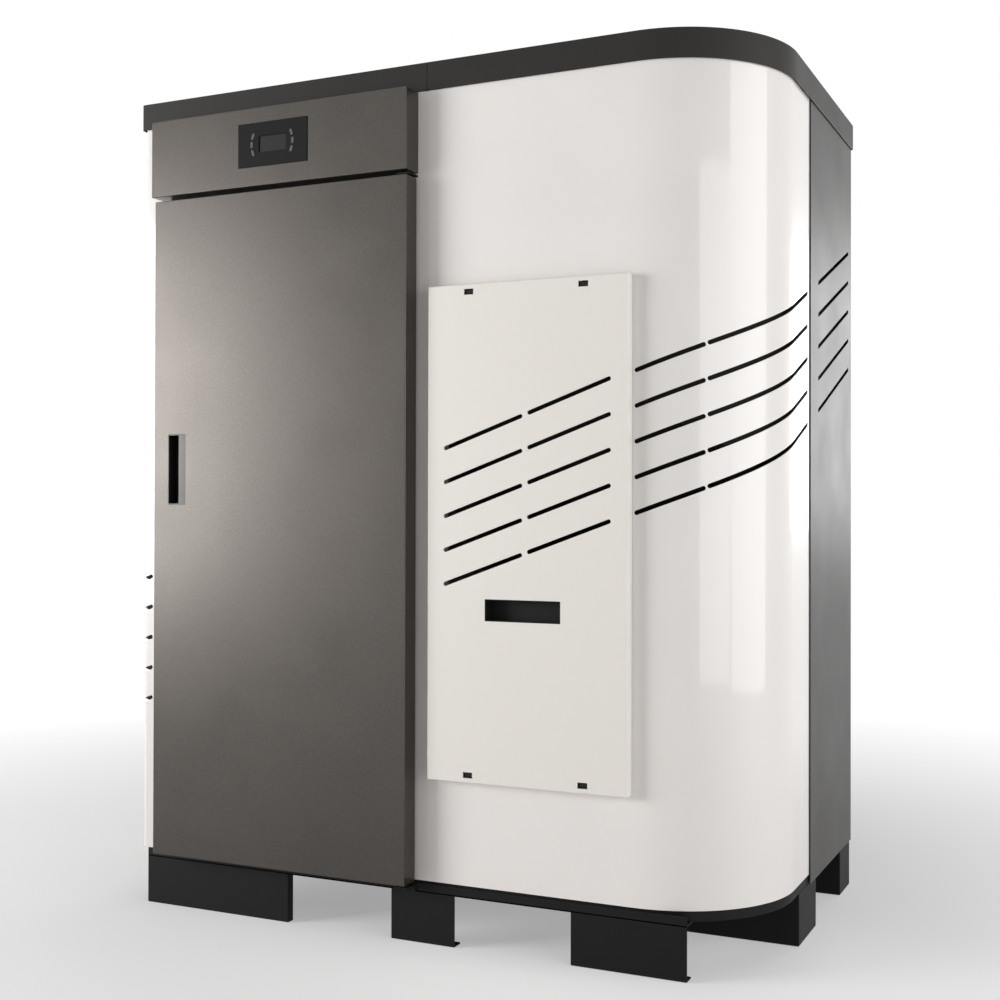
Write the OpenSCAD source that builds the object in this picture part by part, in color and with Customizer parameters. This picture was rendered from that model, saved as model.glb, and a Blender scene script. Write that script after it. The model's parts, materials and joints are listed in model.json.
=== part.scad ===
// Free-standing pellet boiler: boiler bay on the left behind a tall door,
// pellet hopper on the right behind a curved casing, on a base with fork pockets.
// Millimetres. Modules are drawn with X from the lid's left end, Y from the lid's
// front edge and Z from the floor; place() moves them to the origin at the centre
// of the footprint.

/* [Overall] */
// Width over the lid
lid_w = 1114; // [1080:1:1160]
// Depth over the lid
lid_d = 650; // [630:1:700]
// Height from the floor to the top of the lid
total_h = 1400; // [1380:1:1500]

/* [Casing] */
// Thickness of the casing sheets
sheet = 2; // [1.6:0.1:2.4]
// Corner radius of the front shell at the right
corner_r = 195; // [180:1:200]
// Corner radius of the left side panel
left_r = 30; // [24:1:36]
// How far the casing sits inside the lid at each side
side_gap = 4.5; // [4:0.5:6]
// How far the casing sits inside the lid at the front
front_gap = 3; // [2.8:0.1:4]
// How far the casing sits inside the lid at the back
rear_gap = 5; // [4.5:0.5:6]
// Where the front strip of the left panel ends
strip_end = 62; // [60:1:66]
// Where the curved shell ends on the right side, from the lid's front edge
shell_end = 303; // [290:1:310]
// Gap between the shell and the right side panel
panel_gap = 2; // [1:0.5:3]
// Width of the turned-out front edge of the right side panel
edge_w = 6; // [4:0.5:8]
// Gap between the base deck and the bottom of the front shell
shell_lift = 2; // [1:0.5:3]

/* [Lid] */
// Height of the lid's rim
rim_h = 45.5; // [40:0.5:50]
// How far the casing reaches up inside the rim
rim_overlap = 21.5; // [18:0.5:24]
// Where the fixed cover ends and the hopper lid begins
split_x = 567; // [562:1:575]
// Gap between the fixed cover and the hopper lid
split_gap = 2; // [1.5:0.5:4]
// Distance of the lid's hinge pin behind the lid
hinge_back = 6; // [6:0.5:8]
// Radius of the lid's hinge pins
lid_pin_r = 3; // [2.5:0.1:3.2]
// Radius of the lid's left corner
lid_left_r = 4; // [3:0.5:8]

/* [Base] */
// Height of the fork pockets
fork_h = 80; // [75:1:95]
// Width of each fork pocket
fork_w = 197; // [185:1:205]
// Thickness of the base sheets
base_sheet = 3; // [2.5:0.1:4]
// Left edge of the first foot
foot_in = 18; // [14:1:24]
// Width of the left feet
foot_left_w = 291; // [280:1:300]
// Width of the centre feet
foot_mid_w = 113; // [105:1:125]
// Width of the front right foot
foot_right_w = 182; // [170:1:190]
// Depth of the front and rear feet
foot_d = 86; // [70:1:95]
// Depth of the middle feet
foot_mid_d = 124; // [110:1:135]
// Where the middle row of feet begins
row_mid_y = 239; // [230:1:250]
// Depth of the sole under each front foot
sole_d = 40; // [30:1:60]

/* [Door and fascia] */
// How far the door and the fascia stand in front of the lid
door_proud = 37; // [34:1:40]
// Right end of the door and the fascia
module_right = 551; // [545:1:555]
// Left edge of the door
door_left = 59; // [56:1:62]
// Left edge of the fascia
fascia_left = 51; // [48:1:54]
// Height of the fascia
fascia_h = 130; // [120:1:140]
// Gap between the fascia and the door
door_gap = 8; // [7:0.5:12]
// Radius of the door's hinge pins
door_pin_r = 4; // [3.5:0.1:4.5]
// Running clearance round every turning shaft
run_gap = 0.05; // [0.03:0.01:0.08]
// Width of the recessed pull in the door
pull_w = 36; // [34:1:40]
// Height of the recessed pull
pull_h = 120; // [110:1:130]
// Height of the pull's centre above the floor
pull_z = 755.5; // [720:1:790]

/* [Display] */
// Width of the display bezel
bezel_w = 135; // [130:1:140]
// Height of the display bezel
bezel_h = 73; // [68:1:78]
// Centre of the display across the boiler
display_x = 300; // [290:1:310]
// Width of the display window
window_w = 53; // [48:1:56]
// Height of the display window
window_h = 27; // [24:1:30]
// Radius of the ring on which the buttons stand
button_ring = 40; // [38:0.5:43]
// Travel of each button
button_travel = 1.2; // [0.8:0.1:1.5]

/* [Service panel] */
// From the door's right end to the service panel
service_in = 29; // [25:1:33]
// How far the service panel ends before the shell's curve
service_gap = 1.5; // [0:0.5:6]
// Bottom of the service panel above the floor
service_z = 264.5; // [250:1:280]
// Height of the service panel
service_h = 774; // [760:1:790]
// How far the service panel stands off the shell
service_proud = 20; // [18:0.5:24]
// Width of the recessed grip
grip_w = 126; // [120:1:134]
// Height of the recessed grip
grip_h = 34; // [30:1:38]
// Height of the grip's centre above the floor
grip_z = 533; // [525:1:540]

/* [Vent slots] */
// Number of slot rows
slot_rows = 5; // [4:1:5]
// Height from one row to the next
slot_pitch = 53; // [48:1:56]
// Height of each slot
slot_h = 8; // [6:0.5:9]
// Rise of the slots per millimetre of casing
slot_slope = 0.365; // [0.34:0.005:0.38]
// Height of the top row where the casing's front begins
slot_z = 571; // [560:1:585]
// Gap between the two slots of a row on the service panel
slot_break = 12; // [10:1:16]
// Gap between the two slots of a row on the shell
shell_slot_break = 6; // [4:1:10]
// Length of the first slot of a row on the shell
shell_slot_l = 101; // [80:1:120]

/* [Boiler] */
// Room between the boiler body and the wall between the bays
boiler_room = 31; // [28:1:50]
// Depth of the boiler body
boiler_d = 500; // [480:1:510]
// Height of the boiler body
boiler_h = 1123; // [1100:1:1140]
// Thickness of the boiler plates
plate = 5; // [4:0.5:6]
// Width of the water space in the boiler walls
water = 40; // [35:1:45]
// Inside radius of the heat exchanger tubes
tube_r = 30; // [26:1:32]
// Outside radius of the flue spigot
flue_r = 65; // [60:0.5:66]
// How far the flue spigot reaches behind the lid
flue_reach = 55; // [50:1:70]
// Inside radius of the flow and return sockets
socket_r = 19.5; // [18:0.5:20]

/* [Fuel feed] */
// Inside radius of the auger tube
auger_r = 39.5; // [36:0.5:42]
// Height of the auger's axis above the floor
auger_z = 560; // [550:1:570]
// Height of the burner's axis above the floor
burner_z = 400; // [395:1:405]
// Pitch of the auger's flight
auger_pitch = 50; // [40:1:60]

/* [Hidden] */
$fn = 64;
over = 1;
case_l = side_gap;
case_r = lid_w - side_gap;
case_f = front_gap;
case_b = lid_d - rear_gap;
case_in = case_b - sheet;
rim_z = total_h - rim_h;
case_top = rim_z + rim_overlap;
lid_under = total_h - sheet;
lid_corner_r = corner_r + front_gap;
arc_x = case_r - corner_r;
arc_y = case_f + corner_r;
left_arc_x = case_l + left_r;
left_arc_y = case_f + left_r;

deck_fall = 11;
deck_low = fork_h + base_sheet;
base_h = deck_low + deck_fall + base_sheet;
deck_lip = 15;
deck_in = sheet + base_sheet;
shell_z = base_h + shell_lift;
foot_y = case_f - 1;
foot_mid_x = foot_in + foot_left_w + fork_w;
foot_right_x = foot_mid_x + foot_mid_w + fork_w;
foot_back_end = case_r - 1.5;
row_back_y = case_b - foot_d + base_sheet;

fascia_top = rim_z - 0.5;
fascia_z = fascia_top - fascia_h;
door_z = base_h;
door_top = fascia_z - door_gap;
door_back = -1.5;
frame_y = case_f;
frame_end = module_right - 8;
pivot_x = module_right - 8;
pivot_y = -door_proud / 2;
bush_r = door_pin_r + 3;
pin_in = 14;
hinge_plate = 3;
hinge_w = 23;
pull_x = door_left + 30;
pull_deep = 25;
pull_mouth = 22;
door_flange = 20;

bezel_proud = 1.5;
bezel_y = -door_proud - bezel_proud;
bezel_back = bezel_y + 5.5;
button_proud = 1;
button_w = 5;
button_l = 11;
button_gap = 0.4;
button_y = bezel_y - button_proud;
button_back = button_y + 9.5;
board_y = button_back + button_travel + 2.2;
display_z = fascia_z + fascia_h / 2 + 3;

front_reach = door_proud + bezel_proud + button_proud;
mid_y = (lid_d + flue_reach - front_reach) / 2;

service_y = case_f - service_proud;
service_top = service_z + service_h;
service_x = module_right + service_in;
service_w = arc_x - service_gap - service_x;
service_right = service_x + service_w;
service_edge = 26;
opening_step = 10;
slot_in_l = 30;
slot_in_r = 28;
stud_in = 71;
stud_edge = 12;
stud_w = 14;
stud_h = 7;
stud_gap = 1;
grip_x = service_x + service_w / 2 - 3.5;
grip_deep = 27;
grip_wall = 1.5;
grip_rim = 4;
grip_hook = 10;

boiler_x = door_left + 16;
boiler_y = case_f + 57;
skid_h = 20;
skid_w = 40;
skid_in = 30;
boiler_z = base_h + skid_h;
boiler_r = module_right - boiler_room;
boiler_w = boiler_r - boiler_x;
boiler_b = boiler_y + boiler_d;
boiler_top = boiler_z + boiler_h;
fire_w = boiler_w - 2 * (water + 2 * plate);
fire_x = boiler_x + water + 2 * plate;
fire_y = boiler_y + water + 2 * plate;
fire_b = boiler_b - water - 2 * plate;
fire_z = boiler_z + water;
fire_top = fire_z + 480;
smoke_z = boiler_top - 140;
tube_wall = 4;
fire_port = [fire_x + 20, fire_z + 140, fire_w - 40, 270];
ash_port = [fire_x + 20, fire_z + 6, fire_w - 40, 100];
port_wall = 6;
flue_x = boiler_r - 90;
fan_x = boiler_x + 200;
fan_z = boiler_top - 70;
fan_r = 106;
fan_y = boiler_b;
fan_d = 70;
flue_z = fan_z;
wrap_gap = 0.3;
wrap_t = 17;
wrap_half = 15;
socket_x = boiler_x + 100;
flow_z = boiler_top - 190;
return_z = boiler_z + 80;
socket_end = lid_d + 40;
socket_l = 30;
drain_x = boiler_r - 115;
drain_z = boiler_z + 40;

wall_x = module_right;
feed_y = case_f + 317;
auger_out = auger_r + 2.5;
auger_l = wall_x + 69;
auger_end = auger_l + 342;
shaft_r = 10;
burner_x = boiler_r + 8;
burner_end = burner_x + 172;
burner_half = 70;
pass_half = 8;
fire_tube_r = 62;
flame_r = fire_tube_r + 4;
fire_tube_in = 108;
chute_x = auger_l + 6;
chute_w = 68;
trough_l = auger_l + 80;
trough_r = trough_l + 240;
trough_half = 50;
trough_rise = 3;
trough_z = auger_z + auger_out + trough_rise;
knee_z = trough_z + 220;
bin_l = wall_x + 29;
bin_r = case_r - 24.5;
bin_f = case_f + 25;
bin_b = case_in - 23;
bin_corner = corner_r - 30;
seal_t = 3;
bin_top = lid_under - seal_t - 1;
bin_seam = 0.4;

hinge_y = lid_d + hinge_back;
hinge_z = rim_z + 4;
knuckle_r = hinge_back - 0.5;
lid_hinges = [lid_w - 400, lid_w - 130];
knuckle_l = 13;
knuckle_gap = 1;
hinge_leaf_h = 32;
entry_x = module_right + 250;
entry_z = auger_z + 160;
entry_w = 50;
entry_h = 60;
entry_d = 30;
entry_rim = 4;
rocker_lean = 7;
rocker_z = entry_z + 43;
rocker_y = case_b - 2;
rocker_pin_r = 1.5;

// Vent slots. A place on the casing is its developed length s: it equals X along
// the front, and runs on round both corners and along the sides.
slot_angle = atan(slot_slope);
slot_deep = 16;
slot_ref = 20;
slot_r = slot_h / 2;
slot_lap = 0.6;
right_arc_len = corner_r * PI / 2;
left_arc_len = left_r * PI / 2;
side_s = arc_x + right_arc_len;
left_s = left_arc_x - left_arc_len;
shell_s = side_s + shell_end - arc_y;
panel_s = shell_s + panel_gap;
back_s = side_s + case_in - arc_y;
shell_slot_in = 5;
shell_slot_out = 12;
panel_slot_in = 57;
panel_slot_out = 26;
strip_slot = [slot_ref - 125, slot_ref + 5];
left_slot = [slot_ref - 390, slot_ref - 140];

// Openings and fastenings of the rear panel
pass_gap = 2;
screw_r = 2;
screw_l = 8;
screw_head_r = 4;
screw_head_h = 2;
screw_in = 12;
screw_places = [
    for (x = [case_l + screw_in, wall_x + 2 * screw_in, case_r - screw_in],
        z = [base_h + 40, total_h / 2, case_top - 60])
        [x, z]
];

// Boiler fittings
port_rim = 28;
door_thick = 18;
handle_x = fire_port[0] + fire_port[2] + port_rim / 2;
handle_z = fire_port[1] + fire_port[3] / 2;
handle_r = 6;
handle_hub_r = 13;
handle_l = 95;
handle_reach = 38;
hinge_lug_r = 8;
hinge_lug_l = 30;
drawer_gap = 4;
drawer_wall = 2;
drawer_lap = 12;
drawer_pull_w = 120;
drawer_pull_reach = 22;
bar = 10;
lid_lap = 25;
lid_plate = 8;
knob_r = 12;
tube_gap = 6;
twist_lift = 20;

// Exhaust
motor_r = 42;
motor_l = 58;
motor_plate_r = 60;
motor_plate = 3;
fan_wall = 2;
fan_half = 76;
fan_eye_r = 50;
impeller_gap = 12;
impeller_r = 80;
impeller_d = 36;
fan_shaft_r = 6;

// Water side
pipe_wall = 4.5;
pipe_r = socket_r - 2.5;
socket_wall = 6;
drain_r = 12;
drain_bore = 7;
drain_end_r = 9;
drain_end_l = 18;
drain_end = lid_d + 42;
valve_y = lid_d + 18;
valve_half = 15;
stem_r = 4;
lever_z = drain_z + 23.5;
lever_l = 60;

// Fuel feed
motor_face = 45;
gearbox_h = 50;
gearbox_l = 68;
feed_motor_r = 33;
chute_wall = 2;
slot_half = 30;
stand_x = trough_l + 112;
stand_w = 90;
stand_sheet = 3;
tube_flange = 13;
end_wall = 5;
flight_gap = 5;
flight_t = 5;

// Burner
burner_wall = 3;
burner_flange = 8;
burner_rim = 12;
burner_eye_r = 25;
burner_fan_r = 66;
burner_fan_d = 60;
burner_motor_r = 28;
burner_motor_l = 40;
burner_shaft_r = 4;

module place() {
    translate([-lid_w / 2, -mid_y, 0]) children();
}

module block(a, b) {
    translate(a) cube(b - a);
}

module rod_x(p, r, l) {
    translate(p) rotate([0, 90, 0]) cylinder(r = r, h = l);
}

module rod_y(p, r, l) {
    translate(p) rotate([-90, 0, 0]) cylinder(r = r, h = l);
}

module rod_z(p, r, l) {
    translate(p) cylinder(r = r, h = l);
}

// Outline seen from above: square at the back, rounded at the two front corners
module plan(x0, x1, y0, y1, r_l, r_r) {
    translate([x0 + r_l, y0]) square([x1 - r_r - x0 - r_l, y1 - y0]);
    translate([x0, y0 + r_l]) square([r_l, y1 - y0 - r_l]);
    translate([x1 - r_r, y0 + r_r]) square([r_r, y1 - y0 - r_r]);
    translate([x0 + r_l, y0 + r_l]) circle(r_l);
    translate([x1 - r_r, y0 + r_r]) circle(r_r);
}

module casing_plan(inset) {
    plan(case_l + inset, case_r - inset, case_f + inset, case_b - inset,
        left_r - inset, corner_r - inset);
}

module casing_wall(z0, z1, outer, inner) {
    translate([0, 0, z0]) linear_extrude(z1 - z0) difference() {
        casing_plan(outer);
        casing_plan(inner);
    }
}

module lid_plan(inset) {
    plan(inset, lid_w - inset, inset, lid_d - inset,
        lid_left_r - inset, lid_corner_r - inset);
}

module lid_cap() {
    difference() {
        translate([0, 0, rim_z]) linear_extrude(rim_h) lid_plan(0);
        translate([0, 0, rim_z - over]) linear_extrude(rim_h - sheet + over)
            lid_plan(sheet);
    }
}

// Vent slots

function slot_height(s, row) = slot_z + slot_slope * (s - slot_ref) - slot_pitch * row;

module on_casing(s) {
    if (s < left_s)
        translate([case_l, left_arc_y + left_s - s, 0]) rotate([0, 0, -90]) children();
    else if (s < left_arc_x)
        translate([left_arc_x, left_arc_y, 0])
            rotate([0, 0, (s - left_arc_x) / left_arc_len * 90])
                translate([0, -left_r, 0]) children();
    else if (s <= arc_x)
        translate([s, case_f, 0]) children();
    else if (s < side_s)
        translate([arc_x, arc_y, 0]) rotate([0, 0, (s - arc_x) / right_arc_len * 90])
            translate([0, -corner_r, 0]) children();
    else
        translate([case_r, arc_y + s - side_s, 0]) rotate([0, 0, 90]) children();
}

module slot_bar(s, len, row) {
    on_casing(s) translate([0, 0, slot_height(s, row)]) rotate([0, -slot_angle, 0])
        cube([len / cos(slot_angle), slot_deep, slot_h], center = true);
}

module slot_end(s, row) {
    on_casing(s) translate([0, 0, slot_height(s, row)]) rotate([90, 0, 0])
        cylinder(r = slot_r, h = slot_deep, center = true);
}

// One slot from end to end, cut in n straight bars that follow the casing
module slot_run(s0, s1, n, row) {
    low = s0 + slot_r;
    high = s1 - slot_r;
    step = (high - low) / n;
    for (k = [0 : n - 1])
        slot_bar(low + (k + 0.5) * step, step + slot_lap, row);
    slot_end(low, row);
    slot_end(high, row);
}

module all_slots(s0, s1, n) {
    for (row = [0 : slot_rows - 1]) slot_run(s0, s1, n, row);
}

// Base

module foot(x0, x1, y0, y1) {
    difference() {
        block([x0, y0, 0], [x1, y1, fork_h]);
        block([x0 + base_sheet, y0 + base_sheet, base_sheet],
            [x1 - base_sheet, y1 - base_sheet, fork_h]);
    }
}

module beam(y0, y1, right_end) {
    block([foot_in, y0, fork_h], [right_end, y1, deck_low]);
    foot(foot_in, foot_in + foot_left_w, y0, y1);
    foot(foot_mid_x, foot_mid_x + foot_mid_w, y0, y1);
    foot(foot_right_x, right_end, y0, y1);
}

// One sheet folded three ways: a strap under the deck, the feet in front, and their soles
module base_front_beam() {
    right_end = foot_right_x + foot_right_w;
    feet = [[foot_in, foot_in + foot_left_w], [foot_mid_x, foot_mid_x + foot_mid_w],
        [foot_right_x, right_end]];
    color("#232120") {
        block([foot_in, foot_y, fork_h], [right_end, foot_y + foot_d, deck_low]);
        block([foot_in, foot_y, fork_h], [right_end, case_f + sheet, base_h - shell_lift]);
        for (span = feet) {
            block([span[0], foot_y, 0], [span[1], foot_y + base_sheet, fork_h + base_sheet]);
            block([span[0], foot_y, 0], [span[1], foot_y + sole_d, base_sheet]);
        }
    }
}

module base_middle_beam() {
    color("#232120") beam(row_mid_y, row_mid_y + foot_mid_d, foot_back_end);
}

module base_rear_beam() {
    color("#232120") beam(row_back_y, row_back_y + foot_d, foot_back_end);
}

module base_deck() {
    color("#2b2928") {
        casing_wall(deck_low, base_h + deck_lip, sheet, deck_in);
        translate([0, 0, base_h - base_sheet]) linear_extrude(base_sheet)
            casing_plan(sheet);
    }
}

// Casing

module left_side_panel() {
    color("#e8e6e1") difference() {
        intersection() {
            casing_wall(base_h - shell_lift, case_top, 0, sheet);
            block([0, 0, 0], [strip_end, case_in, total_h]);
        }
        all_slots(strip_slot[0], strip_slot[1], 15);
        all_slots(left_slot[0], left_slot[1], 1);
    }
}

module right_side_panel() {
    panel_y = shell_end + panel_gap;
    color("#35322f") difference() {
        union() {
            block([case_r - sheet, panel_y, deck_low], [case_r, case_in, case_top]);
            block([case_r - sheet - edge_w, panel_y, base_h + deck_lip],
                [case_r - sheet, panel_y + sheet, case_top]);
        }
        all_slots(panel_s + panel_slot_in, back_s - panel_slot_out, 1);
    }
}

module rear_panel() {
    deep = sheet + 2 * over;
    y = case_in - over;
    color("#35322f") difference() {
        block([case_l, case_in, deck_low], [case_r, case_b, case_top]);
        rod_y([flue_x, y, flue_z], flue_r + pass_gap, deep);
        rod_y([fan_x, y, fan_z], motor_r + pass_gap, deep);
        for (z = [flow_z, return_z])
            rod_y([socket_x, y, z], socket_r + socket_wall + pass_gap, deep);
        rod_y([drain_x, y, drain_z], drain_r + pass_gap, deep);
        block([entry_x, y, entry_z], [entry_x + entry_w, case_b + over, entry_z + entry_h]);
        for (p = screw_places)
            rod_y([p[0], y, p[1]], screw_r + 2 * run_gap, deep);
    }
}

module rear_panel_screws() {
    color("#8d8f92") for (p = screw_places) {
        rod_y([p[0], case_b - screw_l, p[1]], screw_r, screw_l);
        rod_y([p[0], case_b, p[1]], screw_head_r, screw_head_h);
    }
}

module front_shell() {
    inside = service_edge + opening_step;
    first = arc_x + shell_slot_in;
    second = first + shell_slot_l + shell_slot_break;
    color("#e8e6e1") difference() {
        intersection() {
            casing_wall(shell_z, case_top, 0, sheet);
            block([frame_end, 0, 0], [lid_w, shell_end, total_h]);
        }
        all_slots(first, first + shell_slot_l, 5);
        all_slots(second, shell_s - shell_slot_out, 14);
        block([service_x + service_edge, 0, service_z + inside],
            [service_right - service_edge, arc_y / 4, service_top - inside]);
    }
}

module front_frame() {
    back = frame_y + sheet + over;
    color("#35322f") difference() {
        block([strip_end, frame_y, base_h], [frame_end, frame_y + sheet, case_top]);
        block([boiler_x + 35, 0, base_h + 45], [boiler_r - 20, back, fascia_z - 45]);
        block([display_x - 90, 0, fascia_z + 20], [display_x + 90, back, fascia_top - 20]);
    }
}

module partition_wall() {
    half = burner_half + pass_half;
    color("#9c9fa1") difference() {
        block([wall_x, case_f + deck_in, base_h], [wall_x + sheet, case_b - deck_in, lid_under]);
        block([wall_x - over, feed_y - half, burner_z - half],
            [wall_x + sheet + over, feed_y + half, burner_z + half]);
    }
}

// Lid

module top_cover() {
    color("#302d2c") {
        intersection() {
            lid_cap();
            block([-over, -over, 0], [split_x, lid_d + over, total_h + over]);
        }
        block([split_x - sheet, sheet, case_top + 2], [split_x, lid_d - sheet, total_h]);
    }
}

module hopper_lid() {
    lid_l = split_x + split_gap;
    half = knuckle_l - knuckle_gap;
    color("#302d2c") {
        intersection() {
            lid_cap();
            block([lid_l, -over, 0], [lid_w + over, lid_d + over, total_h + over]);
        }
        block([lid_l, sheet, case_top + 2], [lid_l + sheet, lid_d - sheet, total_h]);
        for (x = lid_hinges) difference() {
            union() {
                block([x - 20, lid_d, hinge_z + 4], [x + 20, lid_d + sheet, total_h - 5]);
                block([x - half, lid_d, hinge_z + 2], [x + half, hinge_y, hinge_z + knuckle_r]);
                rod_x([x - half, hinge_y, hinge_z], knuckle_r, 2 * half);
            }
            rod_x([x - knuckle_l, hinge_y, hinge_z], lid_pin_r + run_gap, 2 * knuckle_l);
        }
    }
}

module lid_seal() {
    color("#1c1c1c") translate([0, 0, bin_top]) linear_extrude(seal_t) difference() {
        bin_plan(-2);
        bin_plan(8);
    }
}

module lid_hinge_brackets() {
    out = 2 * knuckle_l;
    low = hinge_z - knuckle_r;
    color("#4a4c4e") for (x = lid_hinges) difference() {
        union() {
            block([x - out, case_b, hinge_z - 8 - hinge_leaf_h], [x + out, case_b + sheet, hinge_z - 8]);
            for (s = [x - out, x + knuckle_l]) {
                rod_x([s, hinge_y, hinge_z], knuckle_r, knuckle_l);
                block([s, case_b, low - 6], [s + knuckle_l, hinge_y + 3, low - 3]);
                block([s, hinge_y - 3, low - 6], [s + knuckle_l, hinge_y + 3, hinge_z]);
            }
        }
        rod_x([x - out - over, hinge_y, hinge_z], lid_pin_r + run_gap, 2 * (out + over));
    }
}

module lid_hinge_pins() {
    out = 2 * knuckle_l + 0.5;
    color("#b5b7ba") for (x = lid_hinges) {
        rod_x([x - out, hinge_y, hinge_z], lid_pin_r, 2 * out);
        rod_x([x - out - sheet, hinge_y, hinge_z], lid_pin_r + 1.5, sheet);
    }
}

// Control fascia and display

module control_fascia() {
    color("#3f3b38") difference() {
        block([fascia_left, -door_proud, fascia_z], [module_right, case_f, fascia_top]);
        block([fascia_left + sheet, sheet - door_proud, fascia_z + sheet],
            [module_right - sheet, case_f + over, fascia_top - sheet]);
        block([display_x - bezel_w / 2 + 4, -door_proud - over, display_z - bezel_h / 2 + 4],
            [display_x + bezel_w / 2 - 4, 0, display_z + bezel_h / 2 - 4]);
    }
}

// Places of the buttons: three on each side of the window
function button_turn(i) = (i % 3 - 1) * 20 + (i < 3 ? 180 : 0);
function button_at(i) = [
    display_x + button_ring * cos(button_turn(i)),
    display_z + button_ring * sin(button_turn(i)) * (i < 3 ? -1 : 1),
];
function button_lean(i) = (i % 3 - 1) * (i < 3 ? -20 : 20);

module button_form(i, grow, y0, y1) {
    half = (button_l - button_w) / 2;
    translate([button_at(i)[0], y0, button_at(i)[1]]) rotate([0, -button_lean(i), 0]) {
        block([-button_w / 2 - grow, 0, -half], [button_w / 2 + grow, y1 - y0, half]);
        for (z = [-half, half])
            rod_y([0, 0, z], button_w / 2 + grow, y1 - y0);
    }
}

module display_bezel() {
    color("#17181a") difference() {
        union() {
            block([display_x - bezel_w / 2, bezel_y, display_z - bezel_h / 2],
                [display_x + bezel_w / 2, -door_proud, display_z + bezel_h / 2]);
            block([display_x - bezel_w / 2 + 4.3, -door_proud, display_z - bezel_h / 2 + 4.3],
                [display_x + bezel_w / 2 - 4.3, bezel_back, display_z + bezel_h / 2 - 4.3]);
        }
        block([display_x - window_w / 2, bezel_y - over, display_z - window_h / 2],
            [display_x + window_w / 2, bezel_back + over, display_z + window_h / 2]);
        block([display_x - window_w / 2 - 2, bezel_y + 2, display_z - window_h / 2 - 2],
            [display_x + window_w / 2 + 2, bezel_back + over, display_z + window_h / 2 + 2]);
        for (i = [0 : 5]) button_form(i, button_gap, bezel_y - over, bezel_back + over);
    }
}

module display_window() {
    color("#26302c") block(
        [display_x - window_w / 2 - 1.8, bezel_y + 2, display_z - window_h / 2 - 1.8],
        [display_x + window_w / 2 + 1.8, bezel_y + 4, display_z + window_h / 2 + 1.8]);
}

module control_board() {
    color("#2c6b45") {
        block([display_x - 60, board_y, display_z - 30], [display_x + 60, board_y + 1.6, display_z + 30]);
        block([display_x - window_w / 2 - 1.8, bezel_y + 4, display_z - window_h / 2 - 1.8],
            [display_x + window_w / 2 + 1.8, board_y, display_z + window_h / 2 + 1.8]);
        for (sx = [-1, 1], sz = [-1, 1])
            rod_y([display_x + sx * 55, bezel_back, display_z + sz * 26], 3, board_y - bezel_back);
        for (i = [0 : 5])
            block([button_at(i)[0] - 3, button_back + button_travel + 0.5, button_at(i)[1] - 3],
                [button_at(i)[0] + 3, board_y, button_at(i)[1] + 3]);
        block([display_x - 50, board_y + 1.6, display_z - 20],
            [display_x - 10, board_y + 16, display_z + 20]);
    }
}

module button(i) {
    color("#303236") button_form(i, 0, button_y, button_back);
}

// Front door

module front_door() {
    color("#3f3b38") {
        difference() {
            block([door_left, -door_proud, door_z], [module_right, door_back, door_top]);
            block([door_left + sheet, sheet - door_proud, door_z + sheet],
                [module_right - sheet, door_back - sheet, door_top - sheet]);
            block([door_left + door_flange, -door_proud / 2, door_z + door_flange],
                [module_right - door_flange, 0, door_top - door_flange]);
            block([pull_x, -door_proud - over, pull_z - pull_h / 2],
                [pull_x + pull_w, -door_proud / 2, pull_z + pull_h / 2]);
            for (z = [door_z - over, door_top - 2 * sheet])
                rod_z([pivot_x, pivot_y, z], bush_r - 0.5, 2 * sheet + over);
        }
        for (z = [door_z, door_top - pin_in - 2]) difference() {
            rod_z([pivot_x, pivot_y, z], bush_r, pin_in + 2);
            rod_z([pivot_x, pivot_y, z - over], door_pin_r + run_gap, pin_in + 2 + 2 * over);
        }
    }
}

module door_liner() {
    color("#c9cbcc") block(
        [door_left + 5, door_back - 2 * sheet, door_z + 5],
        [module_right - 5, door_back - sheet, door_top - 5]);
}

module door_insulation() {
    color("#d8cfa8") difference() {
        block([door_left + 5, sheet - door_proud + 0.3, door_z + 5],
            [module_right - 5, door_back - 2 * sheet, door_top - 5]);
        block([pull_x - 4, -door_proud, pull_z - pull_h / 2 - 4],
            [pull_x + pull_w + 4, pull_deep - door_proud + 1, pull_z + pull_h / 2 + 4]);
        for (z = [door_z, door_top - pin_in - 6])
            rod_z([pivot_x, pivot_y, z], bush_r + 1, pin_in + 6);
    }
}

module door_seal() {
    seal_in = 8;
    color("#1c1c1c") difference() {
        block([door_left + 11, door_back, door_z + 18], [module_right - 18, case_f - 0.4, door_top - 18]);
        block([door_left + 11 + seal_in, door_back - over, door_z + 18 + seal_in],
            [module_right - 18 - seal_in, case_f, door_top - 18 - seal_in]);
    }
}

module door_pull() {
    low = pull_z - pull_h / 2;
    high = pull_z + pull_h / 2;
    color("#101010") difference() {
        union() {
            block([pull_x + 0.2, -door_proud, low + 0.2],
                [pull_x + pull_w - 0.2, sheet - door_proud, high - 0.2]);
            block([pull_x - 2, sheet - door_proud, low - 2],
                [pull_x + pull_w + 2, pull_deep - door_proud, high + 2]);
        }
        block([pull_x + 1, sheet - door_proud + 1, low + 1],
            [pull_x + pull_w - 1, pull_deep - door_proud - 2, high - 1]);
        block([pull_x + 1.5, -door_proud - over, low + 2],
            [pull_x + pull_mouth, 0.5 * pull_deep - door_proud, high - 2]);
    }
}

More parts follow.
